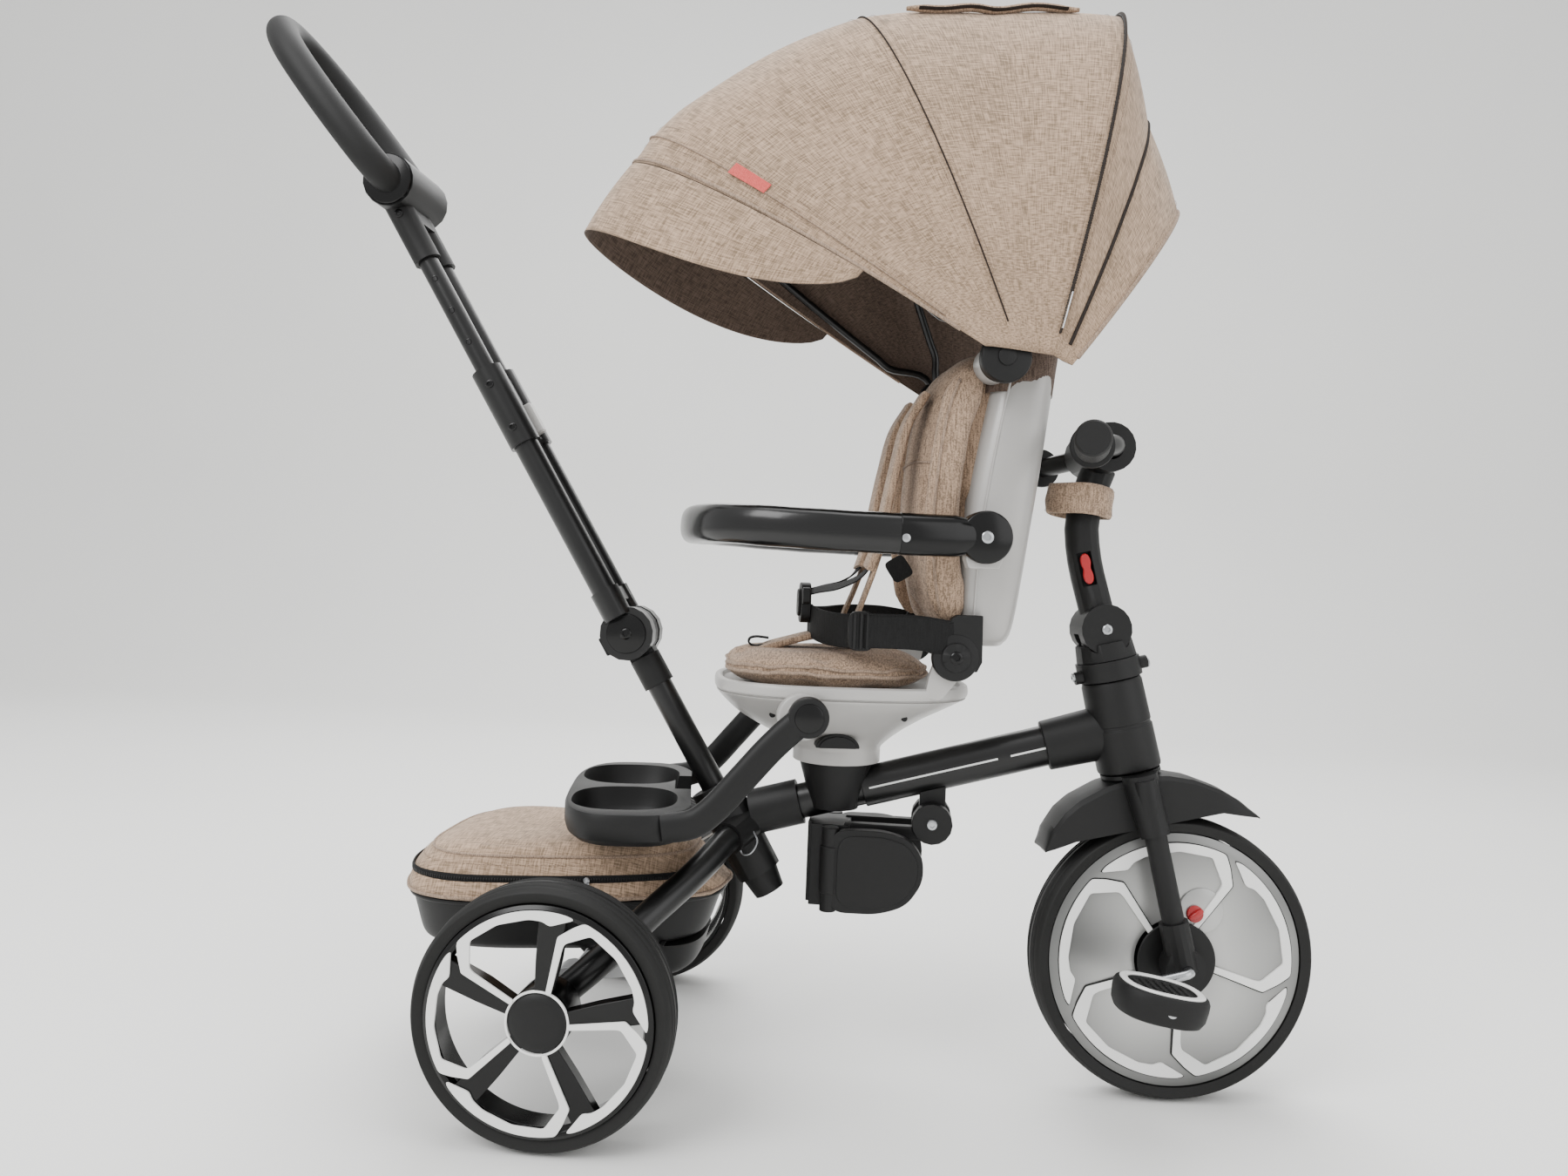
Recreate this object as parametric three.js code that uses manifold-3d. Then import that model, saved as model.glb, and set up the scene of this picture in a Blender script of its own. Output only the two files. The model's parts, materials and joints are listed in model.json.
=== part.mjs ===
// A four-in-one children's tricycle with a swivel seat, canopy, basket and push handle.
// Millimetres. +X points to the front wheel, +Y to the left, +Z up.
import * as THREE from 'three';
import { mergeVertices } from 'three/addons/utils/BufferGeometryUtils.js';
import Module from 'manifold-3d';

const wasm = await Module();
wasm.setup();

// Driving dimensions, in millimetres and degrees
const GAP = 0.4; // clearance between pieces that touch or slide
const SIDES = 16; // sides of a round piece

const FRONT_RADIUS = 150;
const REAR_RADIUS = 125;
const TYRE_WIDTH = 47;
const TYRE_DEPTH = 15;
const WHEELBASE = 617;
const REAR_TRACK = 451;
const AXLE_RADIUS = 8;

const HEAD_TILT = 14; // lean of the steering axis
const STEER_TURN = 7.5; // steering angle that the model stands at
const FORK_HALF_WIDTH = 43;
const FORK_LEG_RADIUS = 11.5;
const FENDER_TOP = 198;
const LUG_BOTTOM = 203;
const LUG_TOP = 303;
const LUG_RADIUS = 32;
const STEERER_RADIUS = 14;
const STEM_HINGE = 357;
const BAR_HEIGHT = 544;
const BAR_HALF_WIDTH = 185;
const BAR_RADIUS = 11;
const GRIP_RADIUS = 17.5;
const CRANK_LENGTH = 50;
const CRANK_REACH = 66;
const PEDAL_OFFSET = 112;
const PIN_RADIUS = 5;

const BEAM_PITCH = 16.1;
const BEAM_FRONT_X = -117.5;
const BEAM_FRONT_Z = 374;
const BEAM_LENGTH = 322;
const BEAM_HALF_HEIGHT = 22;
const BEAM_HALF_WIDTH = 17;
const BEAM_STEP = 225; // where the beam steps down to its thinner rear half
const REAR_LEG_RADIUS = 14.5;
const BRAKE_Y = 138;

const SEAT_X = -365; // swivel axis
const SEAT_TURN = 190; // the seat faces the push handle
const SWIVEL_RADIUS = 41;
const SWIVEL_TOP = 340;
const SEAT_RIM = 432;
const SEAT_HALF_LENGTH = 136.5;
const SEAT_HALF_WIDTH = 121;
const CUSHION_THICKNESS = 28;
const RECLINE_X = -102;
const RECLINE_Z = 466;
const BACK_TOP = 800;
const BACK_HALF_WIDTH = 118;
const BUMPER_X = -119;
const BUMPER_Z = 587;
const BUMPER_HALF_WIDTH = 150;
const BUMPER_REACH = 166;
const TRAY_PIVOT_X = 51;
const TRAY_PIVOT_Z = 402;
const TRAY_HALF_WIDTH = 146;
const TRAY_FRONT = 289;

const CANOPY_X = -130; // canopy pivot
const CANOPY_Z = 762;
const CANOPY_HALF_WIDTH = 168;
const CANOPY_WALL = 3;
const HOOP_RADIUS = 4;
const HOOP_DEPTH = 10; // how far a hoop lies inside the fabric

const FOLD_STEP_X = -258; // pivot of the folding step under the beam
const FOLD_STEP_Z = 280;
const STEP_HINGE_X = -366;
const STEP_HINGE_Y = 40;

const POLE_LEAN = 30.75;
const POLE_X = -465.6;
const POLE_Z = 245;
const POLE_RADIUS = 14;
const POLE_BOTTOM = 20;
const POLE_JOINT = 262;
const TWIN_HALF_SPACING = 21.5;
const OUTER_TUBE_RADIUS = 14;
const INNER_TUBE_RADIUS = 11.2;
const COLLAR_BOTTOM = 500;
const COLLAR_TOP = 594;
const YOKE_BOTTOM = 733;
const RING_AXIS = 823;
const RING_AXIS_FORWARD = 10;
const RING_LENGTH = 225;
const RING_HALF_WIDTH = 78;
const RING_TUBE_RADIUS = 17;
const RING_LEAN = 8;

// Colours and finishes
const black = new THREE.MeshStandardMaterial({ color: 0x242424, roughness: 0.55, metalness: 0 });
const gloss = new THREE.MeshStandardMaterial({ color: 0x1c1c1c, roughness: 0.25, metalness: 0 });
const rubber = new THREE.MeshStandardMaterial({ color: 0x2b2a29, roughness: 0.75, metalness: 0 });
const silver = new THREE.MeshStandardMaterial({ color: 0xc9c9c7, roughness: 0.4, metalness: 0.1 });
const steel = new THREE.MeshStandardMaterial({ color: 0xb5b5b5, roughness: 0.3, metalness: 1 });
const paint = new THREE.MeshStandardMaterial({ color: 0x1e1e1e, roughness: 0.4, metalness: 0.2 });
const beige = new THREE.MeshStandardMaterial({ color: 0xb5a698, roughness: 0.9, metalness: 0 });
const lining = new THREE.MeshStandardMaterial({ color: 0x5c504a, roughness: 0.9, metalness: 0 });
const red = new THREE.MeshStandardMaterial({ color: 0xc23030, roughness: 0.4, metalness: 0 });
const webbing = new THREE.MeshStandardMaterial({ color: 0x202020, roughness: 0.85, metalness: 0 });

const radians = THREE.MathUtils.degToRad;

// A geometry as a solid, and a solid as a geometry
function solid(geometry) {
  const bare = geometry.index ? geometry.toNonIndexed() : geometry.clone();
  bare.deleteAttribute('normal');
  bare.deleteAttribute('uv');
  const merged = mergeVertices(bare, 1e-3);
  const vertProperties = merged.attributes.position.array;
  const triVerts = new Uint32Array(merged.index.array);
  return new wasm.Manifold(new wasm.Mesh({ numProp: 3, vertProperties, triVerts }));
}

function geometryOf(manifold) {
  const made = manifold.getMesh();
  const geometry = new THREE.BufferGeometry();
  geometry.setAttribute('position', new THREE.BufferAttribute(new Float32Array(made.vertProperties), 3));
  geometry.setIndex(new THREE.BufferAttribute(new Uint32Array(made.triVerts), 1));
  geometry.computeVertexNormals();
  return geometry;
}

function join(first, ...others) {
  return geometryOf(others.reduce((sum, other) => sum.add(solid(other)), solid(first)));
}

function cut(body, ...tools) {
  return geometryOf(tools.reduce((rest, tool) => rest.subtract(solid(tool)), solid(body)));
}

const point = (x, y, z) => new THREE.Vector3(x, y, z);

// A round rod between two points, straight or tapered
function rod(from, to, radius, endRadius = radius, sides = SIDES) {
  const along = to.clone().sub(from);
  const geometry = new THREE.CylinderGeometry(endRadius, radius, along.length(), sides);
  const turn = new THREE.Quaternion().setFromUnitVectors(point(0, 1, 0), along.clone().normalize());
  geometry.applyQuaternion(turn);
  const middle = from.clone().add(to).multiplyScalar(0.5);
  return geometry.translate(middle.x, middle.y, middle.z);
}

// A disc across the tricycle, from y0 to y1, centred on x and z
function disc(x, z, radius, y0, y1, sides = SIDES) {
  return rod(point(x, y0, z), point(x, y1, z), radius, radius, sides);
}

// An upright round post
function post(x, y, z0, z1, radius, endRadius = radius, sides = SIDES) {
  return rod(point(x, y, z0), point(x, y, z1), radius, endRadius, sides);
}

function block(x0, x1, y0, y1, z0, z1) {
  const geometry = new THREE.BoxGeometry(x1 - x0, y1 - y0, z1 - z0);
  return geometry.translate((x0 + x1) / 2, (y0 + y1) / 2, (z0 + z1) / 2);
}

// Points of an oval outline; a squareness over 2 fills its corners
function oval(halfX, halfY, count, squareness = 2) {
  const points = [];
  for (let i = 0; i < count; i += 1) {
    const angle = (2 * Math.PI * (i + 0.5)) / count;
    const c = Math.cos(angle);
    const s = Math.sin(angle);
    const x = halfX * Math.sign(c) * Math.abs(c) ** (2 / squareness);
    const y = halfY * Math.sign(s) * Math.abs(s) ** (2 / squareness);
    points.push(new THREE.Vector2(x, y));
  }
  return points;
}

// An outline swept along a smooth path
function sweep(points, outline, steps) {
  const path = new THREE.CatmullRomCurve3(points, false, 'catmullrom', 0.5);
  return new THREE.ExtrudeGeometry(new THREE.Shape(outline), { steps, extrudePath: path, bevelEnabled: false });
}

// A side-view outline in x and z, given its width from y0 to y1
function slab(outline, y0, y1) {
  const shape = new THREE.Shape(outline.map(([x, z]) => new THREE.Vector2(x, z)));
  const geometry = new THREE.ExtrudeGeometry(shape, { depth: y1 - y0, bevelEnabled: false, curveSegments: 6 });
  return geometry.rotateX(Math.PI / 2).translate(0, y1, 0);
}

// A profile of [radius, y] points turned about the cross axis
function turned(profile, sides) {
  return new THREE.LatheGeometry(profile.map(([r, y]) => new THREE.Vector2(r, y)), sides);
}

// A closed skin over rings of points, lowest ring first, each anticlockwise from above
function loft(rings) {
  const count = rings[0].length;
  const vertices = rings.flat();
  const centres = [rings[0], rings[rings.length - 1]].map((ring) => {
    const sum = ring.reduce((total, p) => total.add(p), new THREE.Vector3());
    return sum.divideScalar(count);
  });
  const bottom = vertices.length;
  const index = [];
  for (let j = 0; j < count; j += 1) {
    const k = (j + 1) % count;
    for (let i = 0; i + 1 < rings.length; i += 1) {
      const a = i * count;
      const b = a + count;
      index.push(a + j, a + k, b + k, a + j, b + k, b + j);
    }
    const top = (rings.length - 1) * count;
    index.push(bottom, k, j, bottom + 1, top + j, top + k);
  }
  const geometry = new THREE.BufferGeometry().setFromPoints([...vertices, ...centres]);
  return geometry.setIndex(index);
}

// A level ring for loft
function ring(x, z, halfX, halfY, count, squareness = 2) {
  return oval(halfX, halfY, count, squareness).map((p) => point(x + p.x, p.y, z));
}

// A sheet with a wall: an outer and an inner grid of points, closed round its four edges
function walledSheet(outer, inner) {
  const rows = outer.length;
  const columns = outer[0].length;
  const geometry = new THREE.BufferGeometry().setFromPoints([...outer.flat(), ...inner.flat()]);
  const shift = rows * columns;
  const at = (i, j) => i * columns + j;
  const index = [];
  const face = (a, b, c, d) => index.push(a, b, c, a, c, d);
  for (let i = 0; i + 1 < rows; i += 1) {
    for (let j = 0; j + 1 < columns; j += 1) {
      face(at(i, j), at(i, j + 1), at(i + 1, j + 1), at(i + 1, j));
      face(at(i, j) + shift, at(i + 1, j) + shift, at(i + 1, j + 1) + shift, at(i, j + 1) + shift);
    }
    const last = columns - 1;
    face(at(i, 0), at(i + 1, 0), at(i + 1, 0) + shift, at(i, 0) + shift);
    face(at(i, last), at(i, last) + shift, at(i + 1, last) + shift, at(i + 1, last));
  }
  for (let j = 0; j + 1 < columns; j += 1) {
    const end = rows - 1;
    face(at(0, j), at(0, j) + shift, at(0, j + 1) + shift, at(0, j + 1));
    face(at(end, j), at(end, j + 1), at(end, j + 1) + shift, at(end, j) + shift);
  }
  return geometry.setIndex(index);
}

function add(group, name, geometry, material) {
  const mesh = new THREE.Mesh(geometry, material);
  mesh.name = name;
  group.add(mesh);
  return mesh;
}

// Places a geometry that was drawn in a leaning frame into the tricycle's own frame
function lean(geometry, degrees, x, z) {
  return geometry.rotateY(-radians(degrees)).translate(x, 0, z);
}

const beamPoint = (along) => {
  const pitch = radians(BEAM_PITCH);
  return point(BEAM_FRONT_X - along * Math.cos(pitch), 0, BEAM_FRONT_Z - along * Math.sin(pitch));
};

// A length of the oval beam, or of a socket round it
function beamLength(from, to, extra) {
  const outline = oval(BEAM_HALF_WIDTH + extra, BEAM_HALF_HEIGHT + extra, 20);
  const length = to - from;
  const geometry = new THREE.ExtrudeGeometry(new THREE.Shape(outline), { depth: length, bevelEnabled: false });
  geometry.rotateX(Math.PI / 2).rotateZ(-Math.PI / 2).rotateY(-radians(BEAM_PITCH));
  const end = beamPoint(from);
  return geometry.translate(end.x, 0, end.z);
}

const tricycle = new THREE.Group();

// ---- Frame ----

function mainBeam() {
  const front = beamLength(0, BEAM_STEP, 0);
  const rear = beamLength(BEAM_STEP - 1, BEAM_LENGTH, -2.5);
  return join(front, rear);
}

// The head lug stands on the steering axis; its socket takes the beam
function headLug() {
  const barrel = post(0, 0, LUG_BOTTOM, LUG_TOP, LUG_RADIUS + 2, LUG_RADIUS, 24);
  lean(barrel, HEAD_TILT, 0, FRONT_RADIUS);
  const socket = beamLength(-45, 22, 6);
  const bore = lean(post(0, 0, 0, LUG_TOP + 50, STEERER_RADIUS + GAP), HEAD_TILT, 0, FRONT_RADIUS);
  return cut(join(barrel, socket), bore, beamLength(-GAP, BEAM_LENGTH, GAP));
}

// The swivel base saddles the beam and carries the seat
function swivelBase() {
  const cup = rod(point(SEAT_X, 0, 288), point(SEAT_X, 0, SWIVEL_TOP), 26, SWIVEL_RADIUS, 24);
  const around = beamLength(0, BEAM_STEP, GAP);
  const aroundRear = beamLength(BEAM_STEP - 1 - GAP, BEAM_LENGTH, GAP - 2.5);
  return cut(cup, around, aroundRear);
}

function poleFrame(geometry) {
  return lean(geometry, POLE_LEAN, POLE_X, POLE_Z);
}

const stubStart = (side) => point(-462, side * 6, 262);
const legStart = (side) => point(-476, side * 38, 254);

function rearLeg(side) {
  const path = [
    point(-472, side * 30, 260),
    point(-500, side * 84, 230),
    point(-540, side * 140, 196),
    point(-578, side * 172, 160),
    point(-WHEELBASE, side * 180, REAR_RADIUS),
  ];
  const tube = sweep(path, oval(REAR_LEG_RADIUS, REAR_LEG_RADIUS, 12), 9);
  const boss = disc(-WHEELBASE, REAR_RADIUS, 17, side * 180 - 11, side * 180 + 11);
  const bore = disc(-WHEELBASE, REAR_RADIUS, AXLE_RADIUS + GAP, side * 180 - 30, side * 180 + 30);
  const along = legStart(side).sub(stubStart(side)).setLength(GAP);
  const inLug = rod(stubStart(side), legStart(side).add(along), 40);
  return cut(join(tube, boss), bore, inLug);
}

// The rear lug joins the beam, both rear legs and the pole socket
function rearLug() {
  const socket = poleFrame(post(0, 0, -40, 68, 25, 27));
  const knob = poleFrame(post(0, 0, -64, -39, 17, 21));
  const beamEnd = beamLength(BEAM_LENGTH - 25, BEAM_LENGTH + 30, 3);
  const stubs = [-1, 1].map((side) => rod(stubStart(side), legStart(side), 19, 18));
  const body = join(socket, knob, beamEnd, ...stubs);
  const bore = poleFrame(post(0, 0, POLE_BOTTOM, 90, POLE_RADIUS + GAP));
  return cut(body, bore, beamLength(BEAM_LENGTH - 40, BEAM_LENGTH + GAP, GAP - 2.5));
}

function rearAxle() {
  const reach = REAR_TRACK / 2 + 22;
  return disc(-WHEELBASE, REAR_RADIUS, AXLE_RADIUS, -reach, reach);
}

// Plan of the basket at one height, from the rear axle: it narrows towards the front
function basketRing(z, back, front, halfWidth, taper) {
  const middle = (back + front) / 2 - WHEELBASE;
  const half = (front - back) / 2;
  return oval(half, 1, 20, 3.2).map((p) => point(middle + p.x, p.y * halfWidth * (1 - (taper * p.x) / half), z));
}

const BASKET_RIM = 196;

function basketTub() {
  const outer = loft([
    basketRing(142, -173, 97, 100, 0.3),
    basketRing(150, -189, 117, 110, 0.3),
    basketRing(BASKET_RIM, -200, 133, 116, 0.33),
  ]);
  const inner = loft([
    basketRing(146, -170, 93, 97, 0.3),
    basketRing(153, -186, 113, 107, 0.3),
    basketRing(BASKET_RIM + 1, -197, 129, 112, 0.33),
  ]);
  const belly = loft([
    basketRing(106, 21, 97, 62, 0.1),
    basketRing(116, 17, 109, 68, 0.1),
    basketRing(150, 14, 117, 74, 0.1),
  ]);
  const bellyInner = loft([
    basketRing(110, 24, 93, 59, 0.1),
    basketRing(119, 20, 105, 65, 0.1),
    basketRing(151, 18, 113, 70, 0.1),
  ]);
  return cut(join(outer, belly), inner, bellyInner);
}

// The zipped fabric lid domes over the tub
function basketCover() {
  const level = BASKET_RIM + GAP;
  const outer = loft([
    basketRing(level, -203, 135, 118, 0.33),
    basketRing(218, -199, 117, 112, 0.33),
    basketRing(238, -183, 101, 102, 0.3),
    basketRing(250, -148, 89, 82, 0.25),
  ]);
  const inner = loft([
    basketRing(level - 1, -195, 127, 110, 0.33),
    basketRing(214, -191, 111, 104, 0.33),
    basketRing(232, -176, 95, 95, 0.3),
    basketRing(242, -141, 82, 74, 0.25),
  ]);
  return cut(outer, inner);
}

function stepHanger() {
  const plate = block(FOLD_STEP_X - 14, FOLD_STEP_X + 14, -11, 11, FOLD_STEP_Z, 345);
  const eye = disc(FOLD_STEP_X, FOLD_STEP_Z, 14, -11, 11);
  const bore = disc(FOLD_STEP_X, FOLD_STEP_Z, PIN_RADIUS + GAP, -20, 20);
  return cut(join(plate, eye), bore, beamLength(0, BEAM_STEP, GAP));
}

function buildFrame() {
  add(tricycle, 'main_beam', mainBeam(), paint);
  add(tricycle, 'head_lug', headLug(), black);
  add(tricycle, 'swivel_base', swivelBase(), black);
  add(tricycle, 'rear_lug', rearLug(), black);
  add(tricycle, 'rear_axle', rearAxle(), steel);
  add(tricycle, 'basket_tub', basketTub(), black);
  add(tricycle, 'basket_cover', basketCover(), beige);
  add(tricycle, 'step_hanger', stepHanger(), black);
  add(tricycle, 'rear_leg_right', rearLeg(-1), paint);
  add(tricycle, 'rear_leg_left', rearLeg(1), paint);
}

// ---- Folding step under the beam ----

function stepArm() {
  const discs = [-1, 1].map((side) => disc(FOLD_STEP_X, FOLD_STEP_Z, 22, side * 20 - 8, side * 20 + 8));
  const pin = disc(FOLD_STEP_X, FOLD_STEP_Z, PIN_RADIUS, -26, 26);
  const links = [-1, 1].map((side) => block(-352, FOLD_STEP_X, side * 20 - 6, side * 20 + 6, 262, 276));
  const core = block(-392, -346, -30, 30, 186, 274);
  const posts = [-1, 1].map((side) => post(STEP_HINGE_X, side * STEP_HINGE_Y, 182, 278, 12));
  const corners = [-1, 1].map((side) => block(-420, -388, side * 28 - 12, side * 28 + 12, 180, 280));
  return cut(join(core, ...discs, pin, ...links), ...posts, ...corners);
}

function stepPlate(side) {
  const outline = [
    [-352, 184], [-300, 190], [-276, 204], [-266, 226], [-268, 250], [-284, 268], [-310, 274], [-352, 272],
  ];
  const y = side * (STEP_HINGE_Y + 2);
  const plate = slab(outline, y - 6, y + 6);
  const barrel = post(STEP_HINGE_X, side * STEP_HINGE_Y, 184, 274, 9);
  const leaf = block(STEP_HINGE_X, -350, y - 5, y + 5, 186, 270);
  return join(plate, barrel, leaf);
}

function buildStep() {
  add(tricycle, 'step_arm', stepArm(), black);
  add(tricycle, 'step_plate_right', stepPlate(-1), black);
  add(tricycle, 'step_plate_left', stepPlate(1), black);
}

// ---- Rear wheels ----

// A tyre's round section, drawn as [radius, y]
function tyre(radius) {
  const half = TYRE_WIDTH / 2;
  const bead = radius - TYRE_DEPTH;
  return turned([
    [bead, -half + 3], [radius - 6, -half], [radius - 2, -half * 0.7], [radius, 0],
    [radius - 2, half * 0.7], [radius - 6, half], [bead, half - 3], [bead, -half + 3],
  ], 40);
}

const REAR_RIM_RADIUS = REAR_RADIUS - TYRE_DEPTH - GAP;

// A rear rim: a five-spoked face on the outer side and a barrel behind it
function rearRim(side) {
  const spokes = 5;
  const plate = disc(0, 0, REAR_RIM_RADIUS, -26, -16, 36);
  const windows = [];
  for (let i = 0; i < spokes; i += 1) {
    const start = radians(82 + (360 / spokes) * i);
    const corners = [];
    for (let j = 0; j <= 4; j += 1) {
      const angle = start + radians(2 + j * 12);
      corners.push([-97 * Math.cos(angle), 97 * Math.sin(angle)]);
    }
    corners.push([-36 * Math.cos(start + radians(36)), 36 * Math.sin(start + radians(36))]);
    corners.push([-36 * Math.cos(start + radians(12)), 36 * Math.sin(start + radians(12))]);
    windows.push(slab(corners, -30, -10));
  }
  const hub = disc(0, 0, 27, -25, 20);
  const barrel = turned([
    [REAR_RIM_RADIUS - 8, -17], [REAR_RIM_RADIUS, -17], [REAR_RIM_RADIUS, 22], [REAR_RIM_RADIUS - 4, 22],
    [REAR_RIM_RADIUS - 8, -17],
  ], 36);
  const bore = disc(0, 0, AXLE_RADIUS + GAP, -40, 40);
  const recess = disc(0, 0, 25, -40, -20);
  const rim = cut(join(cut(plate, ...windows), hub, barrel), bore, recess);
  return side < 0 ? rim : rim.rotateZ(Math.PI);
}

function hubCap(side) {
  const cap = turned([[0, -24], [18, -23.6], [24, -22], [24, -20.5], [0, -20.5]], 20);
  const bore = disc(0, 0, AXLE_RADIUS + 2, -23, -10);
  const hollow = cut(cap, bore);
  return side < 0 ? hollow : hollow.rotateZ(Math.PI);
}

function buildRearWheel(side, name) {
  const wheel = new THREE.Group();
  wheel.position.set(-WHEELBASE, (side * REAR_TRACK) / 2, REAR_RADIUS);
  add(wheel, `rear_tyre_${name}`, tyre(REAR_RADIUS), rubber);
  add(wheel, `rear_rim_${name}`, rearRim(side), gloss);
  add(wheel, `rear_hub_cap_${name}`, hubCap(side), black);
  tricycle.add(wheel);
}

// A foot brake beside each rear wheel clips round the axle
function brakePedal(side) {
  const y = side * BRAKE_Y;
  const eye = disc(-WHEELBASE, REAR_RADIUS, 18, y - 14, y + 14);
  const arm = slab([
    [-WHEELBASE - 3, 128], [-WHEELBASE + 65, 138], [-WHEELBASE + 69, 158], [-WHEELBASE + 11, 152],
  ], y - 13, y + 13);
  const bore = disc(-WHEELBASE, REAR_RADIUS, AXLE_RADIUS + GAP, y - 30, y + 30);
  return cut(join(eye, arm), bore);
}

function buildRear() {
  buildRearWheel(-1, 'right');
  buildRearWheel(1, 'left');
  add(tricycle, 'brake_pedal_right', brakePedal(-1), silver);
  add(tricycle, 'brake_pedal_left', brakePedal(1), silver);
}

// ---- Steering group: drawn upright on the steering axis, origin at the front axle ----

const head = new THREE.Group();
head.position.set(0, 0, FRONT_RADIUS);
head.rotation.y = -radians(HEAD_TILT);
const steering = new THREE.Group();
steering.rotation.z = radians(STEER_TURN);
head.add(steering);
tricycle.add(head);

function fork() {
  const leg = (side) => post(0, side * FORK_HALF_WIDTH, -6, FENDER_TOP, FORK_LEG_RADIUS);
  const shroud = (side) => rod(point(0, side * FORK_HALF_WIDTH, 138), point(0, side * 30, LUG_BOTTOM - GAP), 15, 19);
  const socket = (side) => post(0, side * FORK_HALF_WIDTH, -4, 48, 16, 15);
  const eye = (side) => disc(0, 0, 21, side * FORK_HALF_WIDTH - 11, side * FORK_HALF_WIDTH + 13);
  const crown = post(0, 0, FENDER_TOP + GAP, LUG_BOTTOM - GAP, LUG_RADIUS);
  const steerer = post(0, 0, LUG_BOTTOM - 2, LUG_TOP + 25, STEERER_RADIUS);
  const sides = [-1, 1].flatMap((side) => [leg(side), shroud(side), socket(side), eye(side)]);
  const bore = disc(0, 0, PIN_RADIUS + GAP, -80, 80);
  const above = block(-50, 50, -70, 70, LUG_BOTTOM - GAP, LUG_BOTTOM + 30);
  const sidesTrimmed = cut(join(...sides, crown), above, fenderOutline(GAP, 30), bore);
  return join(sidesTrimmed, steerer);
}

// Side view of the fender, grown outwards by extra, from -halfWidth to halfWidth
function fenderOutline(extra, halfWidth) {
  const outline = [
    [-112, 144], [-100, 166], [-84, 178], [-67, 187], [-34, 196], [0, FENDER_TOP], [31, 194], [58, 184],
    [84, 168], [104, 150], [119, 131],
  ].map(([x, z]) => [x * (1 + extra / 112), z + extra]);
  outline.push([80, 143 - extra]);
  outline.push([-80, 146 - extra]);
  return slab(outline, -halfWidth - extra, halfWidth + extra);
}

function fender() {
  const inner = slab([
    [-104, 120], [-104, 146], [-82, 172], [-66, 183], [-34, 192], [0, FENDER_TOP - 4], [31, 190], [57, 180],
    [81, 165], [100, 146], [108, 120],
  ], -26.5, 26.5);
  return cut(fenderOutline(0, 29), inner);
}

function clampRing() {
  const band = post(0, 0, LUG_TOP + GAP, LUG_TOP + 21, LUG_RADIUS + 2);
  const front = rod(point(28, -6, LUG_TOP + 11), point(40, -6, LUG_TOP + 11), 7, 7, 12);
  const back = rod(point(-28, -6, LUG_TOP + 8), point(-40, -6, LUG_TOP + 8), 7, 7, 12);
  return cut(join(band, front, back), post(0, 0, LUG_TOP - 10, LUG_TOP + 40, STEERER_RADIUS + GAP));
}

function stemBase() {
  const base = post(0, 0, LUG_TOP + 21 + GAP, STEM_HINGE - 14, LUG_RADIUS, LUG_RADIUS - 2);
  const tongue = slab([[-22, LUG_TOP + 30], [22, LUG_TOP + 30], [22, STEM_HINGE], [-22, STEM_HINGE]], -8, 8);
  const eye = disc(0, STEM_HINGE, 22, -8, 8);
  const pin = disc(0, STEM_HINGE, PIN_RADIUS, -24, 24);
  const pocket = disc(0, STEM_HINGE, 27 + 2 * GAP, -26, -8);
  const pocketLeft = disc(0, STEM_HINGE, 27 + 2 * GAP, 8, 26);
  const hole = post(0, 0, LUG_TOP, LUG_TOP + 30 + GAP, STEERER_RADIUS + GAP);
  return join(cut(join(base, tongue, eye), pocket, pocketLeft, hole), pin);
}

function stemArm() {
  const path = [
    point(0, 0, STEM_HINGE + 8), point(-1, 0, 400), point(-2, 0, 430), point(3, 0, 470), point(17, 0, 500),
    point(34, 0, 526),
  ];
  const arm = sweep(path, oval(20, 18, 16), 10);
  const knuckle = disc(0, STEM_HINGE, 27, -25, 25, 20);
  const slot = disc(0, STEM_HINGE, 22 + 2 * GAP, -8 - GAP, 8 + GAP);
  const slotBelow = block(-40, 40, -8 - GAP, 8 + GAP, 300, STEM_HINGE);
  const slotFront = block(0, 40, -8 - GAP, 8 + GAP, 300, STEM_HINGE + 22 + 2 * GAP);
  const bore = disc(0, STEM_HINGE, PIN_RADIUS + GAP, -24 - GAP, 24 + GAP);
  const button = block(-13, 1, -30, -11, 406, 442);
  const barrel = disc(38, BAR_HEIGHT, 26, -44, 44, 20);
  const barBore = disc(38, BAR_HEIGHT, BAR_RADIUS + 2, -60, 60);
  return cut(join(arm, knuckle, barrel), slot, slotBelow, slotFront, bore, button, barBore);
}

function stemButton() {
  return block(-12, 0, -19.5, -16, 407, 441);
}

function handlebar() {
  const bend = [62, 110, BAR_HALF_WIDTH];
  const path = [
    point(-24, -bend[2], BAR_HEIGHT + 2), point(-4, -bend[1], BAR_HEIGHT + 1), point(34, -bend[0], BAR_HEIGHT),
    point(38, -30, BAR_HEIGHT), point(38, 30, BAR_HEIGHT), point(34, bend[0], BAR_HEIGHT),
    point(-4, bend[1], BAR_HEIGHT + 1), point(-24, bend[2], BAR_HEIGHT + 2),
  ];
  return sweep(path, oval(BAR_RADIUS, BAR_RADIUS, 8), 20);
}

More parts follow.
